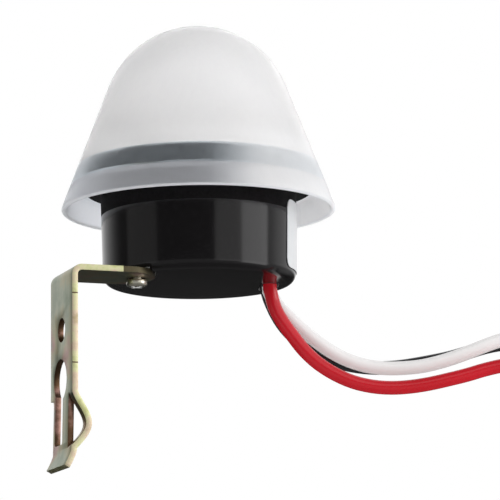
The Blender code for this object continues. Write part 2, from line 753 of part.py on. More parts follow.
def board_parts(finishes):
    """Every part's place is a share of the board's radius, towards the lamp side first."""
    quarter = math.pi / 2
    tin = finishes["tin"]
    boxed_part("relay", RELAY_SIZE, -0.25, 0.21, finishes["relay"])
    boxed_part("film_capacitor", FILM_CAPACITOR_SIZE, -0.335, -0.40, finishes["film"])
    electrolytic_capacitor(0.585, 0.21, finishes["can"])
    diode = rod_profile(DIODE_RADIUS, DIODE_LENGTH)
    for number in range(4):
        x = 0.105 + 0.155 * number
        axial_part(f"rectifier_diode_{number + 1}", diode, x, -0.525, quarter, finishes["black"], tin)
    zener = rod_profile(ZENER_RADIUS, ZENER_LENGTH)
    axial_part("zener_diode", zener, 0.375, 0.525, 0.0, finishes["glass"], tin)
    resistor = resistor_profile()
    spots = ((-0.40, 0.635, 0.0), (0.40, 0.68, 0.0), (0.815, -0.125, quarter))
    for number, (x, y, angle) in enumerate(spots, 1):
        axial_part(f"resistor_{number}", resistor, x, y, angle, finishes["resistor"], tin)
    transistor(0.29, 0.25, finishes["black"], tin)
    varistor(-0.775, -0.25, finishes["varistor"], tin)
    photoresistor(0.29, -0.145, finishes["cell"], tin)


def straight_legs(name, origin, length, pitch, count, material):
    """Legs that stand on the board under a part, as meshes to join to it."""
    legs = []
    for i in range(count):
        y = (i - (count - 1) / 2) * pitch
        leg = cylinder(
            f"{name}_leg_{i + 1}", LEG_DIAMETER * part_fit() / 2, 0.0, length,
            origin + Vector((0.0, y, 0.0)), material, steps=8, cutter=True,
        )
        legs.append(leg)
    return legs


def transistor(x, y, material, leg_material):
    origin = on_board(x, y)
    r = TRANSISTOR_RADIUS * part_fit()
    low = SHORT_LEGS * part_fit()
    half_angle = math.degrees(math.acos(TRANSISTOR_FLAT / TRANSISTOR_RADIUS))
    outline = arc(0.0, 0.0, r, half_angle, 360.0 - half_angle, 14)
    case = prism("transistor", outline, low, low + TRANSISTOR_HEIGHT * part_fit(), material)
    case.location += origin
    join(case, *straight_legs("transistor", origin, low * 1.5, r * 0.54, 3, leg_material))


def varistor(x, y, material, leg_material):
    origin = on_board(x, y)
    r = VARISTOR_RADIUS * part_fit()
    half = VARISTOR_THICKNESS * part_fit() / 2
    low = SHORT_LEGS * part_fit()
    profile = [(0.0, half * 0.8), (r * 0.75, half), (r * 0.95, half * 0.7), (r, 0.0)]
    profile += [(x_at, -z) for x_at, z in reversed(profile[:-1])]
    disc = turned("varistor", profile, (0.0, 0.0, 0.0), material, steps=24)
    turn_along_x(disc, *(origin + Vector((0.0, 0.0, low + r))))
    join(disc, *straight_legs("varistor", origin, low * 1.5, r, 2, leg_material))


def photoresistor(x, y, material, leg_material):
    origin = on_board(x, y)
    r = PHOTORESISTOR_RADIUS * part_fit()
    low = PHOTORESISTOR_STAND * part_fit()
    thick = PHOTORESISTOR_THICKNESS * part_fit()
    high = low + thick
    profile = [(0.0, high), (r * 0.88, high), (r, high - r * 0.12), (r, low), (0.0, low)]
    cell = turned("photoresistor", profile, origin, material, steps=24)
    join(cell, *straight_legs("photoresistor", origin, low + thick / 4, r, 2, leg_material))


# Each lead's tail meets the board at a point given in shares of the board's radius. The route
# is in millimetres from the lead's own outlet in the cup's underside.
LEAD_ROUTES = {
    "red": {
        "outlet_step": -1,
        "board_point": (0.565, -0.315),
        "route": [
            (0.8, -0.7, -5.4), (2.2, -1.8, -8.8), (4.2, -3.0, -12.2), (6.5, -4.3, -15.7),
            (9.4, -5.7, -18.8), (12.8, -7.3, -21.3), (16.4, -8.8, -23.1), (20.4, -10.4, -24.2),
            (24.4, -12.0, -24.6), (28.5, -13.5, -24.4), (32.5, -15.1, -23.8), (36.5, -16.6, -22.9),
            (40.5, -18.1, -21.9), (44.5, -19.5, -20.7), (48.5, -21.0, -19.8), (52.6, -22.5, -19.3),
            (56.7, -24.1, -19.8), (60.5, -25.5, -21.3), (64.0, -26.8, -23.7), (66.8, -27.9, -26.9),
        ],
    },
    "white": {
        "outlet_step": 0,
        "board_point": (0.65, -0.085),
        "route": [
            (1.4, -0.7, -3.9), (3.8, -2.1, -7.1), (6.7, -3.5, -10.2), (9.7, -5.0, -13.1),
            (12.8, -6.4, -15.6), (16.3, -7.9, -17.6), (20.0, -9.4, -18.9), (24.0, -11.0, -19.5),
            (28.0, -12.5, -19.5), (31.9, -14.0, -19.1), (35.7, -15.4, -18.2), (39.4, -16.8, -17.0),
            (43.2, -18.2, -15.5), (47.0, -19.6, -14.0), (51.0, -21.0, -12.8), (55.1, -22.5, -12.6),
            (59.1, -24.0, -13.5), (62.9, -25.4, -15.4), (66.1, -26.6, -18.1),
        ],
    },
    "black": {
        "outlet_step": 1,
        "board_point": (0.625, 0.145),
        "route": [
            (0.9, -0.2, -3.6), (2.3, -1.1, -7.0), (4.4, -2.3, -10.3), (7.4, -3.7, -13.2),
            (11.0, -5.2, -15.6), (14.8, -6.7, -17.4), (18.7, -8.2, -18.4), (22.6, -9.8, -18.8),
            (26.6, -11.3, -18.7), (30.5, -12.9, -18.2), (34.4, -14.4, -17.5), (38.3, -16.0, -16.7),
            (42.1, -17.5, -15.6), (46.0, -18.9, -14.4), (50.1, -20.4, -13.7), (54.3, -21.9, -14.0),
            (58.2, -23.3, -15.2), (61.8, -24.6, -17.5), (64.8, -25.6, -20.5),
        ],
    },
}


def outlet_point(step, height):
    return BODY_AXIS + Vector((*outlet_spot(step), height))


def leads(finishes):
    for colour, facts in LEAD_ROUTES.items():
        outlet = outlet_point(facts["outlet_step"], CUP_BOTTOM)
        route = [outlet - Vector((0.0, 0.0, GAP)), outlet - Vector((0.0, 0.0, GAP + LEAD_STRAIGHT))]
        route += [outlet + Vector(point) * MM for point in facts["route"]]
        line = smooth_route(route, LEAD_STEP)
        tube(f"lead_{colour}", line, LEAD_DIAMETER, finishes[colour])
        onward = (line[-1] - line[-2]).normalized()
        bare = [line[-1] + onward * GAP, line[-1] + onward * STRIPPED_LENGTH]
        tube(f"lead_end_{colour}", bare, CONDUCTOR_DIAMETER, finishes["tin"])
        low = outlet_point(facts["outlet_step"], CUP_INSIDE + 2 * GAP + SEAL_FLANGE_HEIGHT)
        x, y = facts["board_point"]
        reach = board_radius()
        high = BODY_AXIS + Vector((x * reach, y * reach, BOARD_BOTTOM - GAP))
        rise = Vector((0.0, 0.0, (high.z - low.z) / 4))
        tail = smooth_route([low, low + rise, high - rise, high], LEAD_STEP)
        tube(f"lead_tail_{colour}", tail, LEAD_DIAMETER, finishes[colour])


def main():
    steel = finish("bright screw steel", (0.72, 0.70, 0.64), 0.3, 1.0)
    finishes = {
        "relay": finish("relay case blue", (0.05, 0.16, 0.45), 0.4),
        "film": finish("film capacitor yellow", (0.85, 0.62, 0.08), 0.4),
        "can": finish("capacitor sleeve", (0.06, 0.07, 0.10), 0.35),
        "black": finish("black moulded part", (0.02, 0.02, 0.022), 0.4),
        "glass": finish("zener glass", (0.75, 0.32, 0.12), 0.15),
        "resistor": finish("resistor body", (0.72, 0.60, 0.42), 0.5),
        "varistor": finish("varistor coating", (0.10, 0.25, 0.55), 0.5),
        "cell": finish("light cell", (0.80, 0.72, 0.62), 0.3),
        "tin": finish("tinned copper", (0.78, 0.76, 0.72), 0.35, 1.0),
        "red": finish("red insulation", (0.62, 0.02, 0.035), 0.35),
    }
    finishes["white"] = finish("white insulation", (0.86, 0.84, 0.83), 0.4)
    dome_cover(finish("frosted dome plastic", (0.90, 0.91, 0.92), 0.45))
    housing_finish = finish("black housing plastic", (0.012, 0.010, 0.011), 0.15)
    base_housing(housing_finish)
    rating_label(finish("blank label paper", (0.92, 0.92, 0.92), 0.5))
    mounting_bracket(finish("yellow zinc plating", (0.52, 0.46, 0.26), 0.35, 1.0))
    bracket_screw(steel)
    cable_seal(finish("seal rubber", (0.03, 0.03, 0.03), 0.7))
    circuit_board(finish("board laminate", (0.42, 0.30, 0.13), 0.5))
    board_screws(steel)
    board_parts(finishes)
    leads(finishes)


main()
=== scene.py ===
# Photocell switch: frosted dome, glossy black base, plated wall bracket and three leads.
import math
import bmesh
import bpy
from mathutils import Matrix, Vector


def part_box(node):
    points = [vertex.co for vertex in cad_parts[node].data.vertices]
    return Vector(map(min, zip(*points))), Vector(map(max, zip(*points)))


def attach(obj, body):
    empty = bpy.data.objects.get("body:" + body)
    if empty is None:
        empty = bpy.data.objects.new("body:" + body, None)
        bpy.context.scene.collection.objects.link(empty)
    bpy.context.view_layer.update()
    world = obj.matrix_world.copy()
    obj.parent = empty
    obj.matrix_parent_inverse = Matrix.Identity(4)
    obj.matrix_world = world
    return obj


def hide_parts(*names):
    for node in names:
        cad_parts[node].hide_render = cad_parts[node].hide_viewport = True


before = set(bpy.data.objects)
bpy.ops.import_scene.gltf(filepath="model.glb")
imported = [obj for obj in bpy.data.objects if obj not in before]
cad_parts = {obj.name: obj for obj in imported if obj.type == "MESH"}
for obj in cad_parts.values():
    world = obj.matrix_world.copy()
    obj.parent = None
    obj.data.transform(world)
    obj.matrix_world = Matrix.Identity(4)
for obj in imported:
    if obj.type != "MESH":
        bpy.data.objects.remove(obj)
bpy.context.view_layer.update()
mm = 0.001
scene = bpy.context.scene
scene.view_settings.view_transform = "Standard"

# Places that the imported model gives
domeLow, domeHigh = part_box("dome_cover")
bodyAxis = Vector(((domeLow.x + domeHigh.x) / 2, (domeLow.y + domeHigh.y) / 2, 0.0))
rimHeight = domeLow.z
rimRadius = (domeHigh.x - domeLow.x) / 2
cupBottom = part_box("base_housing")[0].z

# Camera: measured in millimetres and degrees from the middle of the dome's rim
shot = {
    "turn": 20.7, "aside": 11.66, "back": 650.0, "below": 129.2, "pitch": 10.48, "roll": 0.79,
    "focalPixels": 2887.5, "frameWidth": 500, "sensor": 36.0, "clip": (0.01, 20.0),
}


def heading(degrees):
    # a level direction, turned anticlockwise from +X
    angle = math.radians(degrees)
    return Vector((math.cos(angle), math.sin(angle), 0.0))


toRight, toBack = heading(-shot["turn"]), heading(90.0 - shot["turn"])
toTop = Vector((0.0, 0.0, 1.0))


def placed(name, data):
    thing = bpy.data.objects.new(name, data)
    scene.collection.objects.link(thing)
    return thing


def inMetres(table):
    # its lengths, where whole numbers are counts
    return {key: value * mm for key, value in table.items() if isinstance(value, float)}


def setCamera():
    pitch, roll = math.radians(shot["pitch"]), math.radians(shot["roll"])
    offset = toRight * shot["aside"] - toBack * shot["back"] - toTop * shot["below"]
    forward = toBack * math.cos(pitch) + toTop * math.sin(pitch)
    upright = toTop * math.cos(pitch) - toBack * math.sin(pitch)
    across = toRight * math.cos(roll) - upright * math.sin(roll)
    upward = toRight * math.sin(roll) + upright * math.cos(roll)
    data = bpy.data.cameras.new("camera")
    data.sensor_width = shot["sensor"]
    data.sensor_fit = "HORIZONTAL"
    data.lens = shot["focalPixels"] / shot["frameWidth"] * shot["sensor"]
    data.clip_start, data.clip_end = shot["clip"]
    matrix = Matrix((across, upward, -forward)).transposed().to_4x4()
    matrix.translation = bodyAxis + toTop * rimHeight + offset * mm
    camera = placed("camera", data)
    camera.matrix_world = matrix
    scene.camera = camera


setCamera()
print("camera set")


# Helpers for shaders and trees
def setInputs(tree, node, inputs):
    # each input takes another node's output or a plain value
    for key, value in inputs.items():
        if isinstance(value, bpy.types.NodeSocket):
            tree.links.new(value, node.inputs[key])
        else:
            node.inputs[key].default_value = value
    return node


def addNode(tree, kind, inputs=None, **settings):
    node = tree.nodes.new(kind)
    for key, value in settings.items():
        setattr(node, key, value)
    return setInputs(tree, node, inputs or {})


def newFinish(name, colour, roughness, metallic=0.0):
    material = bpy.data.materials.new(name)
    material.use_nodes = True
    material.diffuse_color = (*colour, 1.0)
    tree = material.node_tree
    shader = tree.nodes["Principled BSDF"]
    setInputs(tree, shader, {"Base Color": (*colour, 1.0), "Roughness": roughness, "Metallic": metallic})
    return material, tree, shader


def ownPlace(tree):
    return addNode(tree, "ShaderNodeTexCoord").outputs["Object"]


def noiseOn(tree, scale, detail=4.0, rough=0.55, stretch=(1.0, 1.0, 1.0)):
    mapping = addNode(tree, "ShaderNodeMapping", {"Vector": ownPlace(tree), "Scale": stretch})
    inputs = {"Vector": mapping.outputs["Vector"], "Scale": scale, "Detail": detail, "Roughness": rough}
    return addNode(tree, "ShaderNodeTexNoise", inputs).outputs["Fac"]


def rampOf(tree, source, stops):
    ramp = addNode(tree, "ShaderNodeValToRGB", {"Fac": source})
    elements = ramp.color_ramp.elements
    while len(elements) < len(stops):
        elements.new(0.5)
    for element, (place, colour) in zip(elements, stops):
        element.position = place
        element.color = (*colour, 1.0)
    return ramp.outputs["Color"]


def toneOf(tree, source, first, second):
    return rampOf(tree, source, ((0.3, first), (0.7, second)))


def rangeOf(tree, source, low, high):
    inputs = {"Value": source, "To Min": low, "To Max": high}
    return addNode(tree, "ShaderNodeMapRange", inputs).outputs["Result"]


def easeOf(tree, source, start, end):
    # 0 at the start and 1 at the end, with a soft rise between them
    inputs = {"Value": source, "From Min": start, "From Max": end}
    return addNode(tree, "ShaderNodeMapRange", inputs, interpolation_type="SMOOTHSTEP").outputs["Result"]


def mathNode(tree, operation, *values):
    return addNode(tree, "ShaderNodeMath", dict(enumerate(values)), operation=operation).outputs["Value"]


def dotWith(tree, source, way):
    node = addNode(tree, "ShaderNodeVectorMath", {0: source, 1: way}, operation="DOT_PRODUCT")
    return node.outputs["Value"]


def mixedBy(tree, factor, first, second, kind="FLOAT", blend="MIX"):
    # first where the factor is 0 and second where it is 1
    inputs = {"Factor": factor, "A": first, "B": second}
    return addNode(tree, "ShaderNodeMix", inputs, data_type=kind, blend_type=blend).outputs["Result"]


def bumpOf(tree, source, strength, depth):
    inputs = {"Height": source, "Strength": strength, "Distance": depth * mm}
    return addNode(tree, "ShaderNodeBump", inputs).outputs["Normal"]


def plasticFinish(name, first, second, roughness, grain=900.0, bump=0.05, depth=0.02):
    # moulded plastic: slow colour drift, uneven polish and a fine grain
    material, tree, shader = newFinish(name, first, roughness)
    fine = noiseOn(tree, grain, 3.0)
    setInputs(tree, shader, {
        "Base Color": toneOf(tree, noiseOn(tree, 60.0, 3.0), first, second),
        "Roughness": rangeOf(tree, fine, roughness * 0.75, roughness * 1.3),
        "Normal": bumpOf(tree, fine, bump, depth),
    })
    return material


def newTree(name, sockets):
    tree = bpy.data.node_groups.new(name, "GeometryNodeTree")
    for label, kind in {"Geometry": "Geometry", **sockets, "Finish": "Material"}.items():
        tree.interface.new_socket(label, in_out="INPUT", socket_type=f"NodeSocket{kind}")
    tree.interface.new_socket("Geometry", in_out="OUTPUT", socket_type="NodeSocketGeometry")
    return tree, addNode(tree, "NodeGroupInput"), addNode(tree, "NodeGroupOutput")


def finishTree(tree, geometry, given, out):
    real = addNode(tree, "GeometryNodeRealizeInstances", {"Geometry": geometry})
    inputs = {"Geometry": real.outputs["Geometry"], "Material": given.outputs["Finish"]}
    paint = addNode(tree, "GeometryNodeSetMaterial", inputs)
    setInputs(tree, out, {"Geometry": paint.outputs["Geometry"]})
    return tree


# Helpers for meshes and pieces
def pieceFrom(name, data, slot, *nodes):
    piece = placed(name, data)
    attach(piece, "root")
    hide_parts(*nodes)
    return piece


def meshFrom(name, shape):
    mesh = bpy.data.meshes.new(name)
    shape.to_mesh(mesh)
    shape.free()
    return mesh


def smoothBelow(mesh, degrees):
    mesh.shade_smooth()
    mesh.set_sharp_from_angle(angle=math.radians(degrees))


def tidyMesh(mesh, sharpAngle):
    shape = bmesh.new()
    shape.from_mesh(mesh)
    bmesh.ops.remove_doubles(shape, verts=shape.verts, dist=0.002 * mm)
    bmesh.ops.recalc_face_normals(shape, faces=shape.faces)
    shape.to_mesh(mesh)
    shape.free()
    smoothBelow(mesh, sharpAngle)


def addModifier(thing, kind, **settings):
    modifier = thing.modifiers.new(kind.lower(), kind)
    for key, value in settings.items():
        setattr(modifier, key, value)
    return modifier


def applied(thing):
    # a helper object's mesh, with its modifiers applied and its place in it
    bpy.context.view_layer.update()
    mesh = bpy.data.meshes.new_from_object(thing.evaluated_get(bpy.context.evaluated_depsgraph_get()))
    mesh.transform(thing.matrix_world)
    bpy.data.objects.remove(thing)
    return mesh


def bakeTree(name, data, tree, settings):
    # the tree's result as a plain mesh; its inputs are set by identifier before it is evaluated
    thing = placed(name, data)
    modifier = addModifier(thing, "NODES", node_group=tree)
    for item in tree.interface.items_tree:
        if item.in_out == "INPUT" and item.name in settings:
            modifier[item.identifier] = settings[item.name]
    return applied(thing)


# A profile, drawn as a line of points in the XZ plane, turned round a vertical axis
def turnedTree():
    tree, given, out = newTree("turnedShell", {"Steps": "Int", "Centre": "Vector"})
    line = given.outputs["Geometry"]
    size = addNode(tree, "GeometryNodeAttributeDomainSize", {"Geometry": line}, component="MESH")
    count = size.outputs["Point Count"]
    columns = mathNode(tree, "ADD", given.outputs["Steps"], 1.0)
    inputs = {"Size X": 1.0, "Size Y": 1.0, "Vertices X": columns, "Vertices Y": count}
    grid = addNode(tree, "GeometryNodeMeshGrid", inputs)
    where = addNode(tree, "GeometryNodeInputPosition").outputs["Position"]
    parts = addNode(tree, "ShaderNodeSeparateXYZ", {"Vector": where})
    across, along = (mathNode(tree, "ADD", parts.outputs[axis], 0.5) for axis in ("X", "Y"))
    last = mathNode(tree, "SUBTRACT", count, 1.0)
    row = mathNode(tree, "ROUND", mathNode(tree, "MULTIPLY", along, last))
    angle = mathNode(tree, "MULTIPLY", across, math.tau)
    inputs = {"Geometry": line, "Value": where, "Index": row}
    sample = addNode(tree, "GeometryNodeSampleIndex", inputs, data_type="FLOAT_VECTOR", domain="POINT")
    inputs = {"Vector": sample.outputs["Value"], "Axis": toTop, "Angle": angle}
    turn = addNode(tree, "ShaderNodeVectorRotate", inputs, rotation_type="AXIS_ANGLE")
    inputs = {0: turn.outputs["Vector"], 1: given.outputs["Centre"]}
    shift = addNode(tree, "ShaderNodeVectorMath", inputs, operation="ADD")
    inputs = {"Geometry": grid.outputs["Mesh"], "Position": shift.outputs["Vector"]}
    move = addNode(tree, "GeometryNodeSetPosition", inputs)
    inputs = {"Geometry": move.outputs["Geometry"], "Distance": 0.001 * mm}
    weld = addNode(tree, "GeometryNodeMergeByDistance", inputs)
    return finishTree(tree, weld.outputs["Geometry"], given, out)


turnedShell = turnedTree()


def turned(profile, centre, finish, steps, sharpAngle=32.0):
    line = bpy.data.meshes.new("profile")
    edges = [(i, i + 1) for i in range(len(profile) - 1)]
    line.from_pydata([(across, 0.0, height) for across, height in profile], edges, [])
    mesh = bakeTree("turned", line, turnedShell, {"Steps": steps, "Centre": tuple(centre), "Finish": finish})
    tidyMesh(mesh, sharpAngle)
    return mesh


def arc(across, height, radius, start, end, count):
    angles = [math.radians(start + (end - start) * i / count) for i in range(count + 1)]
    return [(across + radius * math.cos(angle), height + radius * math.sin(angle)) for angle in angles]


def between(first, last, share):
    return tuple(a + (b - a) * share for a, b in zip(first, last))


corners = {"steps": 3, "longest": 0.45}


def rounded(points, radius):
    # the same profile with each corner softened, at most to a share of the sides beside it
    result = [points[0]]
    for before, corner, after in zip(points, points[1:], points[2:]):
        here = Vector(corner)
        back, onward = Vector(before) - here, Vector(after) - here
        reach = min(radius, back.length * corners["longest"], onward.length * corners["longest"])
        start, end = here + back.normalized() * reach, here + onward.normalized() * reach
        for i in range(corners["steps"] + 1):
            share = i / corners["steps"]
            spot = start * (1 - share) ** 2 + here * 2 * share * (1 - share) + end * share ** 2
            result.append((spot.x, spot.y))
    return result + [points[-1]]


def prism(name, outline, low, high):
    # a closed outline in X and Y, raised from low to high, as an object
    shape = bmesh.new()
    face = shape.faces.new([shape.verts.new((x, y, low)) for x, y in outline])
    for part in bmesh.ops.extrude_face_region(shape, geom=[face])["geom"]:
        if isinstance(part, bmesh.types.BMVert):
            part.co.z = high
    bmesh.ops.recalc_face_normals(shape, faces=shape.faces)
    return placed(name, meshFrom(name, shape))


def disc(name, radius, low, high, centre, steps=48):
    outline = [(centre.x + x, centre.y + y) for x, y in arc(0.0, 0.0, radius, 0.0, 360.0, steps)[:-1]]
    return prism(name, outline, low, high)


def cutFrom(mesh, sharpAngle, tools, joined=()):
    # the mesh with some tools joined to it and then the others cut away
    thing = placed("cut", mesh)
    for operation, group in (("UNION", joined), ("DIFFERENCE", tools)):
        for tool in group:
            addModifier(thing, "BOOLEAN", operation=operation, solver="EXACT", object=tool)
    result = applied(thing)
    for tool in (*tools, *joined):
        bpy.data.objects.remove(tool)
    tidyMesh(result, sharpAngle)
    return result


print("helpers ready")


# Leads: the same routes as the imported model, in millimetres from each one's outlet
leads = {
    "diameter": 3.2, "stripped": 8.0, "fromAxis": 16.5, "straight": 1.0, "gap": 0.3,
    "clear": 0.02, "spacing": 1.6, "turn": -4.9, "row": 73.0, "pitch": 3.55,
    "steps": {"red": -1, "white": 0, "black": 1},
    "red": [
        (0.8, -0.7, -5.4), (2.2, -1.8, -8.8), (4.2, -3.0, -12.2), (6.5, -4.3, -15.7),
        (9.4, -5.7, -18.8), (12.8, -7.3, -21.3), (16.4, -8.8, -23.1), (20.4, -10.4, -24.2),
        (24.4, -12.0, -24.6), (28.5, -13.5, -24.4), (32.5, -15.1, -23.8), (36.5, -16.6, -22.9),
        (40.5, -18.1, -21.9), (44.5, -19.5, -20.7), (48.5, -21.0, -19.8), (52.6, -22.5, -19.3),
        (56.7, -24.1, -19.8), (60.5, -25.5, -21.3), (64.0, -26.8, -23.7), (66.8, -27.9, -26.9),
    ],
    "white": [
        (1.4, -0.7, -3.9), (3.8, -2.1, -7.1), (6.7, -3.5, -10.2), (9.7, -5.0, -13.1),
        (12.8, -6.4, -15.6), (16.3, -7.9, -17.6), (20.0, -9.4, -18.9), (24.0, -11.0, -19.5),
        (28.0, -12.5, -19.5), (31.9, -14.0, -19.1), (35.7, -15.4, -18.2), (39.4, -16.8, -17.0),
        (43.2, -18.2, -15.5), (47.0, -19.6, -14.0), (51.0, -21.0, -12.8), (55.1, -22.5, -12.6),
        (59.1, -24.0, -13.5), (62.9, -25.4, -15.4), (66.1, -26.6, -18.1),
    ],
    "black": [
        (0.9, -0.2, -3.6), (2.3, -1.1, -7.0), (4.4, -2.3, -10.3), (7.4, -3.7, -13.2),
        (11.0, -5.2, -15.6), (14.8, -6.7, -17.4), (18.7, -8.2, -18.4), (22.6, -9.8, -18.8),
        (26.6, -11.3, -18.7), (30.5, -12.9, -18.2), (34.4, -14.4, -17.5), (38.3, -16.0, -16.7),
        (42.1, -17.5, -15.6), (46.0, -18.9, -14.4), (50.1, -20.4, -13.7), (54.3, -21.9, -14.0),
        (58.2, -23.3, -15.2), (61.8, -24.6, -17.5), (64.8, -25.6, -20.5),
    ],
}
leadColours = {
    "red": ((0.46, 0.003, 0.010), (0.54, 0.006, 0.016)),
    "white": ((0.82, 0.805, 0.80), (0.87, 0.855, 0.85)),
    "black": ((0.012, 0.012, 0.014), (0.020, 0.020, 0.022)),
}


def smoothRoute(points, spacing):
    # a smooth curve through all the points, cut into short steps
    padded = [points[0] * 2 - points[1], *points, points[-1] * 2 - points[-2]]
    route = [points[0].copy()]
    for before, start, end, after in zip(padded, padded[1:], padded[2:], padded[3:]):
        square = before * 2 - start * 5 + end * 4 - after
        cube = start * 3 - end * 3 + after - before
        count = max(1, round((end - start).length / spacing))
        for step in range(1, count + 1):
            share = step / count
            route.append(start + ((end - before) * share + square * share ** 2 + cube * share ** 3) * 0.5)
    return route


# Twisted strands: each helical centre line becomes a round wire
def strandTree():
    tree, given, out = newTree("strandBundle", {"Strand Radius": "Float"})
    curve = addNode(tree, "GeometryNodeMeshToCurve", {"Mesh": given.outputs["Geometry"]})
    inputs = {"Resolution": strandFacts["sides"], "Radius": given.outputs["Strand Radius"]}
    ring = addNode(tree, "GeometryNodeCurvePrimitiveCircle", inputs)
    inputs = {"Curve": curve.outputs["Curve"], "Profile Curve": ring.outputs["Curve"], "Fill Caps": True}
    tube = addNode(tree, "GeometryNodeCurveToMesh", inputs)
    return finishTree(tree, tube.outputs["Mesh"], given, out)


strandFacts = {
    "rings": ((0, 1), (0.34, 6), (0.68, 12)), "radius": 0.165, "turns": 0.55, "steps": 20, "sides": 8,
}
strandBundle = strandTree()


def strandLines(start, onward):
    # centre lines of the strands round a short straight conductor
    side = onward.orthogonal().normalized()
    over = onward.cross(side)
    points, edges = [], []
    length = (leads["stripped"] - leads["gap"]) * mm
    for radius, count in strandFacts["rings"]:
        for number in range(count):
            for step in range(strandFacts["steps"] + 1):
                share = step / strandFacts["steps"]
                angle = math.tau * (number / count + strandFacts["turns"] * share)
                away = (side * math.cos(angle) + over * math.sin(angle)) * radius * mm
                if step:
                    edges.append((len(points) - 1, len(points)))
                points.append(start + onward * length * share + away)
    line = bpy.data.meshes.new("strands")
    line.from_pydata(points, edges, [])
    return line


def copperFinish():
    material, tree, shader = newFinish("tinnedCopper", (0.74, 0.70, 0.64), 0.28, 1.0)
    drift = noiseOn(tree, 900.0, 3.0)
    setInputs(tree, shader, {"Base Color": toneOf(tree, drift, (0.80, 0.78, 0.75), (0.70, 0.58, 0.45))})
    return material


def outletSpot(colour):
    out = heading(leads["turn"]) * leads["fromAxis"]
    along = heading(leads["row"]) * leads["steps"][colour] * leads["pitch"]
    return bodyAxis + (out + along) * mm


def leadCurve(name, line, finish):
    curve = bpy.data.curves.new(name, "CURVE")
    curve.dimensions = "3D"
    curve.bevel_depth = leads["diameter"] * mm / 2
    curve.bevel_resolution = 6
    curve.use_fill_caps = True
    spline = curve.splines.new("POLY")
    spline.points.add(len(line) - 1)
    for point, place in zip(spline.points, line):
        point.co = (*place, 1.0)
    spline.use_smooth = True
    curve.materials.append(finish)
    return curve


def addLeads():
    tinned = copperFinish()
    for colour, tones in leadColours.items():
        outlet = outletSpot(colour) + toTop * cupBottom
        start = outlet - toTop * (leads["clear"] * mm)
        route = [start, start - toTop * (leads["straight"] * mm)]
        route += [outlet + Vector(point) * mm for point in leads[colour]]
        line = smoothRoute(route, leads["spacing"] * mm)
        finish = plasticFinish(f"{colour}Insulation", *tones, 0.18, 700.0, 0.05, 0.03)
        curve = leadCurve(f"{colour}Lead", line, finish)
        lead = pieceFrom(f"{colour}Lead", curve, f"{colour}_insulation", f"lead_{colour}")
        onward = (line[-1] - line[-2]).normalized()
        strands = strandLines(line[-1] + onward * leads["gap"] * mm, onward)
        settings = {"Strand Radius": strandFacts["radius"] * mm, "Finish": tinned}
        mesh = bakeTree("strands", strands, strandBundle, settings)
        mesh.shade_smooth()
        ends = pieceFrom(f"{colour}Strands", mesh, "tinned_copper", f"lead_end_{colour}")


addLeads()
print("leads made")


# Dome: a crown of one radius that runs tangent into a straight cone, open below
dome = {
    "crown": 22.0, "wall": 1.2, "ringLow": 6.6, "ringHeight": 3.8, "gap": 0.3, "beadHeight": 0.9,
    "ribDepth": 0.9, "ribWidth": 1.1, "aboveRib": 3.0, "softness": 0.25, "steps": 200, "coneRows": 12,
}
crownRadius = dome["crown"] * mm
crownCentre = domeHigh.z - crownRadius
crownDrop = crownCentre - rimHeight
coneSlope = math.atan2(rimRadius, crownDrop) - math.asin(crownRadius / math.hypot(rimRadius, crownDrop))
ringLow = rimHeight + dome["ringLow"] * mm
ringTop = ringLow + dome["ringHeight"] * mm


def coneRadius(height, inward):
    return rimRadius - (height - rimHeight) * math.tan(coneSlope) - inward / math.cos(coneSlope)


def domeProfile():
    degrees = math.degrees(coneSlope)
    wall, depth, gap, bead = (dome[key] * mm for key in ("wall", "ribDepth", "gap", "beadHeight"))
    lip = wall / 2
    lipHeight = rimHeight + lip
    beadTop = ringLow - gap
    beadLow = beadTop - bead
    ribLow = ringTop + gap
    ribHigh = ribLow + dome["ribWidth"] * mm
    # heights on the inside and how far in from the cone's outer face each one lies
    inside = (
        (beadLow, wall), ((beadLow + beadTop) / 2, wall + bead), (beadTop, wall), (ribLow, wall),
        (ribLow, wall + depth), (ribHigh, wall + depth), (ribHigh + depth, wall),
        (ribHigh + dome["aboveRib"] * mm, wall),
    )
    profile = arc(0.0, crownCentre, crownRadius, 90.0, degrees, 28)
    side = profile[-1]
    foot = arc(coneRadius(lipHeight, lip), lipHeight, lip, degrees, degrees - 180.0, 10)
    profile += [between(side, foot[0], i / dome["coneRows"]) for i in range(1, dome["coneRows"])]
    profile += foot
    inner = [(coneRadius(height, inward), height) for height, inward in inside]
    profile += rounded([foot[-1], *inner], dome["softness"] * mm)[1:-1]
    profile += arc(0.0, crownCentre, crownRadius - wall, degrees, 90.0, 24)
    for end in (0, -1):
        profile[end] = (0.0, profile[end][1])
    return profile


frost = {
    "colour": (0.94, 0.94, 0.945), "drift": (0.97, 0.965, 0.965), "ior": 1.3, "grain": 1400.0,
    "lines": ((0.32, (0.972, 0.972, 0.975)), (0.60, (1.0, 1.0, 1.0))), "streak": 0.09, "uneven": 0.08,
    # roughness and clearness of the plain wall, then those and the tint of each zone over it, in order; the
    # tints are a painted shade of the dark base and ring behind the wall
    "wall": (0.85, 0.66),
    "zones": {
        "shoulder": (0.85, 0.5, None),
        "rib": (0.8, 0.42, None),
        "lip": (0.8, 0.5, (0.90, 0.91, 0.93)),
        "skirt": (0.45, 0.84, (0.90, 0.915, 0.955)),
        "bead": (0.6, 0.78, None),
        "ring": (0.3, 0.94, (0.84, 0.91, 0.97)),
    },
    # where the zones end, in millimetres from the rim or from the ring's edges
    "lip": 0.45, "bandBelow": 0.95, "bandAbove": 0.15, "bead": 1.1, "rib": 0.4, "shoulder": 4.0,
    "soft": 0.22, "belowRim": 5.0,
    # the painted light on the dome's right side: where it starts and is full, and how much of each zone it
    # covers
    "paintedLightSpan": (0.5, 17.0), "paintedLightShare": {"skirt": 0.9, "bead": 0.9, "ring": 0.7},
}


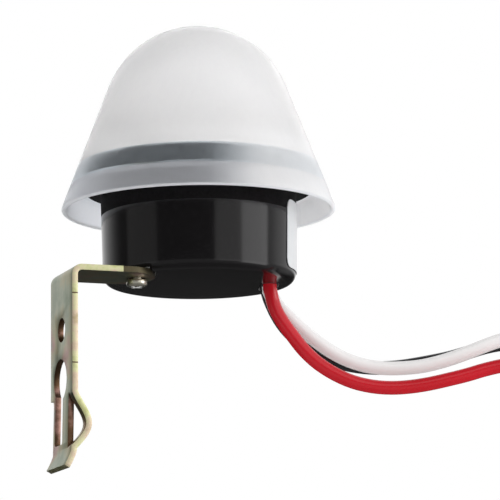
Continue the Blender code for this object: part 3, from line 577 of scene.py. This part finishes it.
def heightBand(tree, low, high, soft):
    # 1 between two heights of the piece and 0 outside, with soft edges, all in metres
    height = addNode(tree, "ShaderNodeSeparateXYZ", {"Vector": ownPlace(tree)}).outputs["Z"]
    rise = easeOf(tree, height, low - soft / 2, low + soft / 2)
    fall = easeOf(tree, height, high + soft / 2, high - soft / 2)
    return mathNode(tree, "MULTIPLY", rise, fall)


def paintedSideLight(tree):
    # painted light: 0 on the left of the dome's middle as the camera sees it, rising to 1 on its right,
    # where the zones fade as if lit
    start, end = (bodyAxis.dot(toRight) + value * mm for value in frost["paintedLightSpan"])
    return easeOf(tree, dotWith(tree, ownPlace(tree), toRight), start, end)


def frostFinish():
    # translucent polypropylene, clearer where the wall lies on the base's ring and in the skirt below it;
    # painted shade tints those zones and painted light fades them on the right
    polish, through = frost["wall"]
    material, tree, shader = newFinish("frostedDome", frost["colour"], polish)
    shader.inputs["IOR"].default_value = frost["ior"]
    soft, shoulder = frost["soft"] * mm, frost["shoulder"] * mm
    lip = rimHeight + frost["lip"] * mm
    beadTop = ringLow - frost["bandBelow"] * mm
    litSide = paintedSideLight(tree)
    masks = {
        "shoulder": heightBand(tree, rimHeight - frost["belowRim"] * mm, ringTop + shoulder, shoulder),
        "rib": heightBand(tree, ringTop, ringTop + frost["rib"] * mm, soft / 2),
        "lip": heightBand(tree, rimHeight - mm, lip, soft),
        "skirt": heightBand(tree, lip, beadTop, soft),
        "bead": heightBand(tree, beadTop - frost["bead"] * mm, beadTop, soft),
        "ring": heightBand(tree, beadTop, ringTop + frost["bandAbove"] * mm, soft),
    }
    # painted light: the zones' clearness, polish and tint fade toward the dome's right side
    for zone, share in frost["paintedLightShare"].items():
        masks[zone] = mathNode(tree, "MULTIPLY", masks[zone], rangeOf(tree, litSide, 1.0, 1.0 - share))
    colour = toneOf(tree, noiseOn(tree, 45.0, 3.0), frost["colour"], frost["drift"])
    for zone, (roughness, clearness, tint) in frost["zones"].items():
        polish = mixedBy(tree, masks[zone], polish, roughness)
        through = mixedBy(tree, masks[zone], through, clearness)
        # painted shade: the zone's tint darkens the wall where dark parts lie behind it
        if tint:
            colour = mixedBy(tree, masks[zone], colour, (*tint, 1.0), "RGBA")
    brush = noiseOn(tree, 900.0, 5.0, 0.7, (1.0, 1.0, 0.06))
    streak = rangeOf(tree, brush, 1.0 - frost["streak"], 1.0 + frost["streak"])
    fine = noiseOn(tree, frost["grain"], 3.0)
    uneven = rangeOf(tree, fine, 1.0 - frost["uneven"], 1.0 + frost["uneven"])
    setInputs(tree, shader, {
        "Base Color": mixedBy(tree, 1.0, colour, rampOf(tree, brush, frost["lines"]), "RGBA", "MULTIPLY"),
        "Transmission Weight": mathNode(tree, "MULTIPLY", through, streak),
        "Roughness": mathNode(tree, "MULTIPLY", polish, uneven),
        "Normal": bumpOf(tree, fine, 0.08, 0.02),
    })
    return material


shell = turned(domeProfile(), bodyAxis, frostFinish(), dome["steps"], 40.0)
pieceFrom("frostedDome", shell, "dome", "dome_cover")
print("dome made")


# Bracket sizes, which the base's pocket needs too
bracket = {
    "sheet": 1.3, "width": 16.2, "rise": 19.9, "drop": 24.8, "foot": 21.4, "footCorner": 7.9, "bend": 1.0,
    "screwFromWall": 17.6, "screwHole": 1.8, "fixingRadius": 2.7, "fixingHeight": 6.2,
    "keyRadius": 4.75, "keyHeight": -4.9, "keyShift": 1.0, "slotNear": -1.1, "slotWidth": 5.5,
    "slotBottom": -19.3, "slotCorner": 0.8, "strapWidth": 2.6, "strapTop": -8.3, "strapLength": 12.3,
    "strapBulge": 3.3, "strapSkew": 1.23, "strapFullness": 0.12, "strapSteps": 36, "lanceCut": 0.35,
    "stepHeight": -8.9, "stepDepth": 2.4, "stepRadius": 1.2, "leanStart": -7.0, "lean": 0.3,
    "flare": 1.6, "flareLength": 3.6, "flareEase": 1.3, "flareSteps": 6,
    "edgeSoftness": 0.12, "toolReach": 3.5, "toolShift": 0.5,
    # the strip's wall beside the strap has a finish of its own, and the foot's edge over the screw gets a
    # painted shade
    "lanceReach": 0.6, "shadeFrom": 11.8,
}

# Base: moulded cup with a flange and the ring that carries the dome
base = {
    "topRadius": 22.5, "bottomRadius": 22.05, "height": 21.5, "edge": 2.1, "wall": 1.9, "floor": 2.0,
    "flange": 2.2, "lip": 1.6, "ringLow": 1.9, "ringHeight": 3.8, "ringWall": 2.0, "fit": 1.5,
    "bossRadius": 2.7, "bossFromAxis": 18.9, "pilotRadius": 1.0, "pilotDepth": 10.0,
    "screwBore": 1.8, "pillarWall": 1.2, "pillarHeight": 9.0, "outletHalf": 1.85, "gap": 0.3,
    "pocket": 0.9, "collar": 5.9, "softness": 0.35, "steps": 208, "rows": (0.5, 0.7, 0.85),
}


def cupRadius(height):
    share = (height - cupBottom) / (base["height"] * mm)
    return (base["bottomRadius"] + (base["topRadius"] - base["bottomRadius"]) * share) * mm


def outletOutline():
    half = (base["outletHalf"] + base["gap"]) * mm
    outline = []
    for colour, start in (("black", leads["row"] - 90.0), ("red", leads["row"] + 90.0)):
        spot = outletSpot(colour)
        outline += arc(spot.x, spot.y, half, start, start + 180.0, 16)
    return outline


def pocketOutline():
    # the bracket's foot, grown by the gap all round and open at the cup's side
    end = (bracket["foot"] + base["gap"]) * mm
    half = (bracket["width"] / 2 + base["gap"]) * mm
    corner = (bracket["footCorner"] + base["gap"]) * mm
    outline = [(0.0, half), (0.0, -half)]
    outline += arc(end - corner, corner - half, corner, -90.0, 0.0, 20)
    outline += arc(end - corner, half - corner, corner, 0.0, 90.0, 20)
    return outline


def housingFinish():
    # glossy black plastic: slow waves, a fine grain, a little dust and uneven polish
    material, tree, shader = newFinish("blackHousing", (0.004, 0.0035, 0.004), 0.14)
    shader.inputs["Specular IOR Level"].default_value = 0.36
    fine = noiseOn(tree, 1500.0, 3.0)
    dust = ((0.55, (0.0035, 0.003, 0.0035)), (0.85, (0.010, 0.0095, 0.010)))
    swell = bumpOf(tree, noiseOn(tree, 55.0, 2.0, 0.4, (1.0, 1.0, 0.35)), 0.25, 0.5)
    grain = bumpOf(tree, fine, 0.03, 0.02)
    setInputs(tree, grain.node, {"Normal": swell})
    setInputs(tree, shader, {
        "Base Color": rampOf(tree, fine, dust),
        "Roughness": rangeOf(tree, noiseOn(tree, 130.0, 4.0), 0.1, 0.2),
        "Normal": grain,
    })
    return material


def flangeFinish():
    # fine moulded texture on the flange and the collar under it
    material, tree, shader = newFinish("mattFlange", (0.004, 0.0035, 0.004), 0.7)
    shader.inputs["Specular IOR Level"].default_value = 0.06
    fine = noiseOn(tree, 1800.0, 3.0)
    setInputs(tree, shader, {
        "Base Color": toneOf(tree, fine, (0.0035, 0.003, 0.0035), (0.008, 0.0075, 0.008)),
        "Normal": bumpOf(tree, fine, 0.1, 0.02),
    })
    return material


def housingMesh(finish, flange):
    size = inMetres(base)
    flangeUnder = cupBottom + size["height"]
    flangeTop = flangeUnder + size["flange"]
    low = flangeUnder + size["ringLow"]
    high = low + size["ringHeight"]
    inside = cupBottom + size["floor"]
    fit, wall, edge, bottom = (size[key] for key in ("fit", "wall", "edge", "bottomRadius"))
    ringInner = coneRadius(high, fit) - size["ringWall"]
    wallTop, wallLow = (size["topRadius"], flangeUnder), (bottom, cupBottom + edge)
    upper = [
        (0.0, inside), (cupRadius(inside) - wall, inside), (cupRadius(flangeTop) - wall, flangeTop),
        (ringInner, flangeTop), (ringInner, high), (coneRadius(high, fit), high),
        (coneRadius(low, fit), low), (coneRadius(low, fit) - size["lip"], flangeUnder), wallTop,
        (cupRadius(cupBottom + edge), cupBottom + edge),
    ]
    profile = rounded(upper, size["softness"])[:-1]
    for share in (base["collar"] / (base["height"] - base["edge"]), *base["rows"]):
        profile.append(between(wallTop, wallLow, share))
    profile += arc(bottom - edge, cupBottom + edge, edge, 0.0, -90.0, 12)
    profile.append((0.0, cupBottom))
    mesh = turned(profile, bodyAxis, finish, base["steps"])
    joined, tools = [], []
    for sign in (1, -1):
        centre = bodyAxis + Vector((0.0, sign * size["bossFromAxis"], 0.0))
        top = flangeTop - size["gap"]
        joined.append(disc("boss", size["bossRadius"], cupBottom + mm, top, centre))
        tools.append(disc("pilot", size["pilotRadius"], top - size["pilotDepth"], top + mm, centre, 24))
    screw = Vector((bracket["screwFromWall"] * mm, 0.0, 0.0))
    bore = size["screwBore"]
    pillarTop = cupBottom + size["pillarHeight"]
    joined.append(disc("pillar", bore + size["pillarWall"], cupBottom + mm, pillarTop, screw))
    tools.append(disc("screwBore", bore, cupBottom - mm, pillarTop + mm, screw, 32))
    tools.append(prism("outlet", outletOutline(), cupBottom - mm, inside + mm))
    tools.append(prism("pocket", pocketOutline(), cupBottom - mm, cupBottom + size["pocket"]))
    mesh = cutFrom(mesh, 30.0, tools, joined)
    mesh.materials.append(flange)
    for polygon in mesh.polygons:
        if polygon.center.z > flangeUnder - size["collar"]:
            polygon.material_index = len(mesh.materials) - 1
    return mesh


pieceFrom("blackBase", housingMesh(housingFinish(), flangeFinish()), "housing", "base_housing")
print("base made")


# Blank label round the cup's right side
label = {
    "from": -46.5, "to": 48.0, "height": 15.6, "below": 3.6, "thick": 0.16, "gap": 0.04, "corner": 2.0,
    "columns": 120, "rows": 10,
}


def labelMesh(finish):
    top = cupBottom + (base["height"] - label["below"]) * mm
    low = top - label["height"] * mm
    corner = label["corner"] * mm
    turn = label["to"] - label["from"]
    shape = bmesh.new()
    columns = []
    for i in range(label["columns"] + 1):
        share = i / label["columns"]
        way = heading(label["from"] + turn * share)
        fromEdge = min(share, 1 - share) * math.radians(turn) * cupRadius(top)
        inset = corner - math.sqrt(corner ** 2 - max(0.0, corner - fromEdge) ** 2)
        column = []
        for j in range(label["rows"] + 1):
            height = low + inset + (top - low - 2 * inset) * j / label["rows"]
            spot = bodyAxis + way * (cupRadius(height) + label["gap"] * mm) + toTop * height
            column.append(shape.verts.new(spot))
        columns.append(column)
    for left, right in zip(columns, columns[1:]):
        for j in range(label["rows"]):
            shape.faces.new((left[j], right[j], right[j + 1], left[j + 1]))
    thing = placed("label", meshFrom("label", shape))
    addModifier(thing, "SOLIDIFY", thickness=label["thick"] * mm, offset=1.0)
    result = applied(thing)
    result.materials.append(finish)
    tidyMesh(result, 30.0)
    return result


def labelFinish():
    material, tree, shader = newFinish("blankLabel", (0.62, 0.63, 0.64), 0.45)
    fibre = noiseOn(tree, 1800.0, 5.0, 0.65, (1.0, 1.0, 0.5))
    setInputs(tree, shader, {
        "Base Color": toneOf(tree, noiseOn(tree, 120.0, 4.0), (0.59, 0.605, 0.62), (0.65, 0.66, 0.67)),
        "Normal": bumpOf(tree, fibre, 0.12, 0.03),
    })
    return material


pieceFrom("blankLabel", labelMesh(labelFinish()), "label", "rating_label")
print("label made")


# Wall bracket pressed from plated strip
def bracketStations():
    # the strip's middle plane from the side, in millimetres: x, z and the strap's bow
    size = bracket
    half = size["sheet"] / 2
    middle = size["bend"] + half
    footHeight = size["rise"] - half
    bendX, bendZ = half + middle, footHeight - middle
    stations = [(size["foot"] + (bendX - size["foot"]) * i / 4, footHeight, 0.0) for i in range(4)]
    stations += [(x, z, 0.0) for x, z in arc(bendX, bendZ, middle, 90.0, 180.0, 12)]
    stations += [(half, bendZ + (size["leanStart"] - bendZ) * i / 4, 0.0) for i in range(1, 5)]
    flareStart = -size["drop"] + size["flareLength"]
    run = size["leanStart"] - flareStart
    for i in range(size["strapSteps"] + 1):
        share = i / size["strapSteps"]
        z = size["strapTop"] - size["strapLength"] * share
        rise = math.sin(math.pi * share ** size["strapSkew"])
        bulge = size["strapBulge"] * rise * (1.0 + size["strapFullness"] * (rise - 1.0))
        stations.append((half - size["lean"] * (size["leanStart"] - z) / run, z, bulge))
    for i in range(size["flareSteps"] + 1):
        share = i / size["flareSteps"]
        x = half - size["lean"] - size["flare"] * share ** size["flareEase"]
        stations.append((x, flareStart - size["flareLength"] * share, 0.0))
    return stations


def sideTool(name, outline):
    # an outline in -y and z that goes through the upright part of the strip
    reach = bracket["toolReach"] * mm
    tool = prism(name, outline, -reach, reach)
    tool.matrix_world = Matrix.Rotation(-math.pi / 2, 4, "Z") @ Matrix.Rotation(math.pi / 2, 4, "X")
    tool.location = (-bracket["toolShift"] * mm, 0.0, 0.0)
    return tool


def bracketTools():
    size = inMetres(bracket)
    low, high = size["rise"] - 3 * mm, size["rise"] + mm
    far = size["slotNear"] + size["slotWidth"]
    corner, slotLow = size["slotCorner"], size["slotBottom"] + size["slotCorner"]
    slot = [(-size["slotNear"], size["keyHeight"]), (-far, size["keyHeight"])]
    slot += arc(-far + corner, slotLow, corner, 180.0, 270.0, 6)
    slot += arc(-size["slotNear"] - corner, slotLow, corner, 270.0, 360.0, 6)
    edge = -size["width"] / 2
    inner = edge + size["stepDepth"]
    radius = size["stepRadius"]
    step = [(edge - mm, size["stepHeight"]), (inner - radius, size["stepHeight"])]
    step += arc(inner - radius, size["stepHeight"] - radius, radius, 90.0, 0.0, 8)[1:]
    step += [(inner, -size["drop"] - mm), (edge - mm, -size["drop"] - mm)]
    outlines = {
        "fixing": arc(0.0, size["fixingHeight"], size["fixingRadius"], 0.0, 360.0, 64)[:-1],
        "keyhole": arc(-size["keyShift"], size["keyHeight"], size["keyRadius"], 0.0, 360.0, 80)[:-1],
        "slot": slot, "step": step,
    }
    tools = [sideTool(name, outline) for name, outline in outlines.items()]
    tools.append(disc("screwHole", size["screwHole"], low, high, Vector((size["screwFromWall"], 0.0, 0.0))))
    end, sweep, half = size["foot"], size["footCorner"], size["width"] / 2
    for side in (1, -1):
        outline = arc(end - sweep, half - sweep, sweep, 90.0, 0.0, 20)
        outline += [(end + mm, half - sweep), (end + mm, half + mm), (end - sweep, half + mm)]
        tools.append(prism("corner", [(x, side * y) for x, y in outline], low, high))
    return tools


def bracketMesh(*finishes):
    # finishes: the faces, the cut edges, the holes' walls and a painted shade for the foot's edge over the
    # screw and its corners
    stations = bracketStations()
    near = -bracket["width"] / 2
    lance = near + bracket["strapWidth"]
    gap = bracket["lanceCut"] / 2
    columns = [near, lance - gap, lance + gap, bracket["width"] / 2]
    shape = bmesh.new()
    grid = []
    for x, z, bulge in stations:
        across = (x + bulge, x + bulge, x, x)
        grid.append([shape.verts.new((out * mm, y * mm, z * mm)) for out, y in zip(across, columns)])
    top, low = bracket["strapTop"], bracket["strapTop"] - bracket["strapLength"]
    for number, (first, second) in enumerate(zip(grid, grid[1:])):
        middle = (stations[number][1] + stations[number + 1][1]) / 2
        for i in range(3):
            if i != 1 or not low < middle < top:
                shape.faces.new((first[i], first[i + 1], second[i + 1], second[i]))
    bmesh.ops.recalc_face_normals(shape, faces=shape.faces)
    thing = placed("bracket", meshFrom("bracket", shape))
    sheet = {"thickness": bracket["sheet"] * mm, "offset": 0.0, "material_offset_rim": 1}
    addModifier(thing, "SOLIDIFY", use_even_offset=True, **sheet)
    tools = bracketTools()
    for part in (thing, *tools):
        for finish in finishes:
            part.data.materials.append(finish)
    for tool in tools:
        for polygon in tool.data.polygons:
            # the foot's corner walls take the painted shade (index 3)
            polygon.material_index = {"step": 1, "corner": 3}.get(tool.name.split(".")[0], 2)
    solid = cutFrom(applied(thing), 30.0, tools)
    for polygon in solid.polygons:
        x, y, z = polygon.center / mm
        if polygon.material_index == 1 and abs(y - lance) < bracket["lanceReach"] and low < z < top:
            polygon.material_index = 2
        # the foot's edge over the screw takes the painted shade
        if polygon.material_index == 1 and x > bracket["shadeFrom"]:
            polygon.material_index = 3
    thing = placed("bracket", solid)
    soft = {"width": bracket["edgeSoftness"] * mm, "segments": 2, "angle_limit": math.radians(50.0)}
    addModifier(thing, "BEVEL", limit_method="ANGLE", **soft)
    solid = applied(thing)
    smoothBelow(solid, 38.0)
    return solid


def zincFinish(name, stops, roughness, blotch, marks=()):
    # yellow passivated zinc: rolled grain along the strip, slow colour drift and a few shear marks
    material, tree, shader = newFinish(name, stops[0][1], roughness, 1.0)
    colour = rampOf(tree, noiseOn(tree, blotch, 5.0, 0.6), stops)
    half, soft = shearMarks["half"] * mm, shearMarks["soft"] * mm
    for height in marks:
        mark = heightBand(tree, height * mm - half, height * mm + half, soft)
        colour = mixedBy(tree, mark, colour, shearMarks["colour"], "RGBA")
    streak = noiseOn(tree, 260.0, 4.0, 0.6, (1.0, 3.0, 0.25))
    setInputs(tree, shader, {
        "Base Color": colour,
        "Roughness": rangeOf(tree, streak, roughness * 0.8, roughness * 1.35),
        "Normal": bumpOf(tree, streak, 0.12, 0.05),
    })
    return material


shearMarks = {"heights": (13.4, -2.0), "half": 0.14, "soft": 0.1, "colour": (0.12, 0.07, 0.05, 1.0)}
zincTones = {
    "face": (
        (0.30, (0.23, 0.28, 0.19)), (0.43, (0.33, 0.36, 0.26)), (0.53, (0.39, 0.36, 0.22)),
        (0.62, (0.43, 0.26, 0.22)), (0.72, (0.26, 0.29, 0.23)),
    ),
    "edge": (
        (0.30, (0.44, 0.45, 0.19)), (0.44, (0.64, 0.64, 0.38)), (0.56, (0.64, 0.52, 0.39)),
        (0.70, (0.38, 0.31, 0.16)),
    ),
    "bore": (
        (0.32, (0.08, 0.045, 0.025)), (0.48, (0.14, 0.08, 0.045)), (0.62, (0.42, 0.24, 0.20)),
        (0.72, (0.12, 0.07, 0.035)),
    ),
    # painted shade: a dark brown for the foot's edge and corners that lie in shadow under the cup
    "shade": ((0.35, (0.05, 0.045, 0.03)), (0.65, (0.10, 0.085, 0.05))),
}
plating = (
    zincFinish("zincFace", zincTones["face"], 0.34, 105.0),
    zincFinish("zincEdge", zincTones["edge"], 0.42, 190.0, shearMarks["heights"]),
    zincFinish("zincBore", zincTones["bore"], 0.36, 160.0),
    zincFinish("zincPaintedShade", zincTones["shade"], 0.4, 160.0),
)
pieceFrom("platedBracket", bracketMesh(*plating), "bracket", "mounting_bracket")
print("bracket made")


# Pan-head screws with a cross recess
screws = {
    "bracket": {"shank": 1.5, "head": 2.4, "headHeight": 1.7, "length": 9.0},
    "board": {"shank": 0.8, "head": 2.3, "headHeight": 1.5, "length": 8.0},
    "turns": {"bracket": 25.0, "board": 20.0},
    "recess": 0.8, "recessDepth": 1.0, "pitch": 0.8, "threadDepth": 0.16, "softness": 0.25, "gap": 0.3,
}


def screwFinish():
    material, tree, shader = newFinish("brightScrew", (0.70, 0.68, 0.60), 0.25, 1.0)
    setInputs(tree, shader, {
        "Base Color": toneOf(tree, noiseOn(tree, 500.0, 4.0), (0.74, 0.72, 0.64), (0.60, 0.56, 0.44)),
        "Roughness": rangeOf(tree, noiseOn(tree, 1500.0, 3.0), 0.18, 0.34),
    })
    return material


def screwMesh(kind, finish):
    # head down, its seat at height 0, the thread running up
    shank, head, rise, length = (value * mm for value in screws[kind].values())
    pitch, core = screws["pitch"] * mm, shank - screws["threadDepth"] * mm
    point = length - shank * 0.8
    profile = [(0.0, length), (shank * 0.45, length), (shank * 0.9, point)]
    height = point - pitch / 2
    while height > pitch * 1.5:
        profile += [(core, height), (shank, height - pitch * 0.3), (core, height - pitch * 0.6)]
        height -= pitch
    profile.append((core, 0.0))
    pan = [
        (core, 0.0), (head, 0.0), (head, -rise * 0.42), (head * 0.93, -rise * 0.72),
        (head * 0.7, -rise * 0.94), (0.0, -rise),
    ]
    profile += rounded(pan, screws["softness"] * mm)[1:]
    mesh = turned(profile, (0.0, 0.0, 0.0), finish, 64, 35.0)
    reach, half = head * 0.62, screws["recess"] * mm / 2
    tools = []
    for x, y in ((reach, half), (half, reach)):
        outline = [(-x, -y), (x, -y), (x, y), (-x, y)]
        tools.append(prism("recess", outline, -rise - mm, -rise + screws["recessDepth"] * mm))
    return cutFrom(mesh, 35.0, tools)


def turnedBy(degrees):
    return Matrix.Rotation(math.radians(degrees), 4, "Z")


def addScrews():
    steel = screwFinish()
    seat = bracket["rise"] - bracket["sheet"] - screws["gap"]
    mesh = screwMesh("bracket", steel)
    spot = Vector((bracket["screwFromWall"], 0.0, seat)) * mm
    mesh.transform(Matrix.Translation(spot) @ turnedBy(screws["turns"]["bracket"]))
    pieceFrom("bracketScrew", mesh, "screw", "bracket_screw")
    for number in (1, 2):
        low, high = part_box(f"board_screw_{number}")
        mesh = screwMesh("board", steel)
        turn = Matrix.Rotation(math.pi, 4, "X") @ turnedBy(screws["turns"]["board"] * number)
        seat = high.z - screws["board"]["headHeight"] * mm
        spot = Vector(((low.x + high.x) / 2, (low.y + high.y) / 2, seat))
        mesh.transform(Matrix.Translation(spot) @ turn)
        pieceFrom(f"boardScrew{number}", mesh, "screw", f"board_screw_{number}")


addScrews()
print("screws made")


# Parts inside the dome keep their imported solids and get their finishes
def laminateFinish():
    material, tree, shader = newFinish("boardLaminate", (0.70, 0.64, 0.50), 0.5)
    weave = noiseOn(tree, 700.0, 5.0, 0.7, (1.0, 0.2, 1.0))
    setInputs(tree, shader, {
        "Base Color": toneOf(tree, weave, (0.76, 0.72, 0.62), (0.82, 0.78, 0.68)),
        "Normal": bumpOf(tree, weave, 0.1, 0.03),
    })
    return material


insideFinishes = {
    "cable_seal": plasticFinish(
        "sealRubber", (0.022, 0.022, 0.023), (0.034, 0.034, 0.035), 0.7, 1200.0, 0.2,
    ),
    "circuit_board": laminateFinish(),
    "relay": plasticFinish("relayCase", (0.76, 0.76, 0.75), (0.82, 0.82, 0.81), 0.35),
    "film_capacitor": plasticFinish("filmCase", (0.72, 0.73, 0.74), (0.80, 0.81, 0.82), 0.38),
    "electrolytic_capacitor": plasticFinish("canSleeve", (0.60, 0.62, 0.65), (0.68, 0.70, 0.72), 0.3),
    "zener_diode": plasticFinish("zenerGlass", (0.70, 0.28, 0.10), (0.80, 0.38, 0.16), 0.12),
    "varistor": plasticFinish("varistorCoat", (0.62, 0.64, 0.66), (0.70, 0.72, 0.74), 0.5, 500.0, 0.15),
    "photoresistor": plasticFinish("lightCell", (0.78, 0.68, 0.56), (0.84, 0.76, 0.66), 0.22),
    "transistor": plasticFinish("blackPart", (0.018, 0.018, 0.020), (0.030, 0.030, 0.032), 0.42),
}
resistorFinish = plasticFinish("resistorBody", (0.68, 0.55, 0.36), (0.76, 0.64, 0.46), 0.45, 600.0, 0.12)


def finishNodes():
    for name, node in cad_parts.items():
        finish = insideFinishes.get(name)
        if name.startswith("rectifier"):
            finish = insideFinishes["transistor"]
        if name.startswith("resistor"):
            finish = resistorFinish
        if name.startswith("lead_tail"):
            finish = bpy.data.materials[f"{name.split('_')[-1]}Insulation"]
        if finish:
            node.data.materials.clear()
            node.data.materials.append(finish)


finishNodes()
print("inside finished")


# Studio: pale floor well below, white backdrop, softboxes
studio = {
    "floorDepth": -165.0, "floorSize": 0.55, "glowTurn": 42.0, "fill": 0.84, "frontThrough": 0.72,
    "gloss": {"front": 0.10, "lowFront": 0.4, "lowBack": 0.03, "lowRight": 0.5, "below": 0.2, "high": 1.0},
    # the way that each part of the room is met, and where on it the part starts and is full
    "fades": {
        "sides": ("right", -0.3, 0.3), "backLeft": ("back", 0.2, 0.95), "backRight": ("back", -0.25, 0.35),
        "high": ("up", 0.27, 0.45), "glow": ("glow", 0.3, 0.6), "lowBack": ("back", -0.5, 0.1),
        "lowRight": ("right", 0.35, 0.85), "below": ("down", 0.4, 0.85), "horizon": ("up", -0.04, 0.12),
        "through": ("back", -0.3, 0.5),
    },
    # name, degrees right of the camera, height over the rim, distance, width, height, watts, colour
    "boxes": (
        ("keyBox", 70.0, 60.0, 700.0, 455.0, 620.0, 2.1, (1.0, 0.995, 1.0)),
        ("sideBox", 36.0, 80.0, 900.0, 516.0, 520.0, 0.68, (1.0, 0.99, 0.985)),
        ("leftBox", -70.0, 60.0, 900.0, 700.0, 520.0, 0.36, (1.0, 0.99, 0.97)),
    ),
}


def addFloor():
    material, tree, shader = newFinish("paleFloor", (0.88, 0.88, 0.88), 0.7)
    speck = noiseOn(tree, 40.0, 3.0)
    setInputs(tree, shader, {"Base Color": toneOf(tree, speck, (0.87, 0.87, 0.87), (0.89, 0.89, 0.89))})
    shape = bmesh.new()
    bmesh.ops.create_circle(shape, cap_ends=True, segments=96, radius=studio["floorSize"])
    mesh = meshFrom("floor", shape)
    mesh.materials.append(material)
    floor = placed("floor", mesh)
    floor.location = (bodyAxis.x, bodyAxis.y, studio["floorDepth"] * mm)
    # gloss sees the room below instead, which is darker
    floor.visible_glossy = False


def addWorld():
    # the camera sees white; gloss sees it toward the backdrop above the horizon and high in front,
    # transmitted rays toward the backdrop, and both a dimmer room elsewhere
    world = bpy.data.worlds.new("studio")
    scene.world = world
    world.use_nodes = True
    tree = world.node_tree
    place = addNode(tree, "ShaderNodeTexCoord").outputs["Generated"]
    gloss = studio["gloss"]
    glow = heading(studio["glowTurn"] - shot["turn"] - 90.0)
    ways = {"right": toRight, "back": toBack, "up": toTop, "down": -toTop, "glow": glow}

    def fade(name):
        way, start, end = studio["fades"][name]
        return easeOf(tree, dotWith(tree, place, ways[way]), start, end)

    edge = mixedBy(tree, fade("sides"), fade("backLeft"), fade("backRight"))
    level = mixedBy(tree, edge, gloss["front"], 1.0)
    patch = mathNode(tree, "MULTIPLY", fade("high"), fade("glow"))
    level = mixedBy(tree, patch, level, gloss["high"])
    low = mixedBy(tree, fade("lowBack"), gloss["lowFront"], gloss["lowBack"])
    for part in ("lowRight", "below"):
        low = mixedBy(tree, fade(part), low, gloss[part])
    shiny = mixedBy(tree, fade("horizon"), low, level)
    beyond = mixedBy(tree, fade("through"), studio["frontThrough"], 1.0)
    path = addNode(tree, "ShaderNodeLightPath")
    strength = studio["fill"]
    for ray, seen in (("Glossy", shiny), ("Transmission", beyond), ("Camera", 1.0)):
        strength = mixedBy(tree, path.outputs[f"Is {ray} Ray"], strength, seen)
    setInputs(tree, tree.nodes["Background"], {"Strength": strength, "Color": (1.0, 1.0, 1.0, 1.0)})


def addBoxes():
    target = bodyAxis + toTop * rimHeight
    for name, right, height, distance, width, tall, power, colour in studio["boxes"]:
        light = bpy.data.lights.new(name, "AREA")
        light.shape = "RECTANGLE"
        light.size, light.size_y = width * mm, tall * mm
        light.energy = power
        light.color = colour
        spot = target + heading(right - shot["turn"] - 90.0) * distance * mm
        spot.z += height * mm
        lamp = placed(name, light)
        lamp.location = spot
        lamp.rotation_euler = (target - spot).to_track_quat("-Z", "Y").to_euler()
        lamp.visible_camera = False


addFloor()
addWorld()
addBoxes()
print("studio ready")
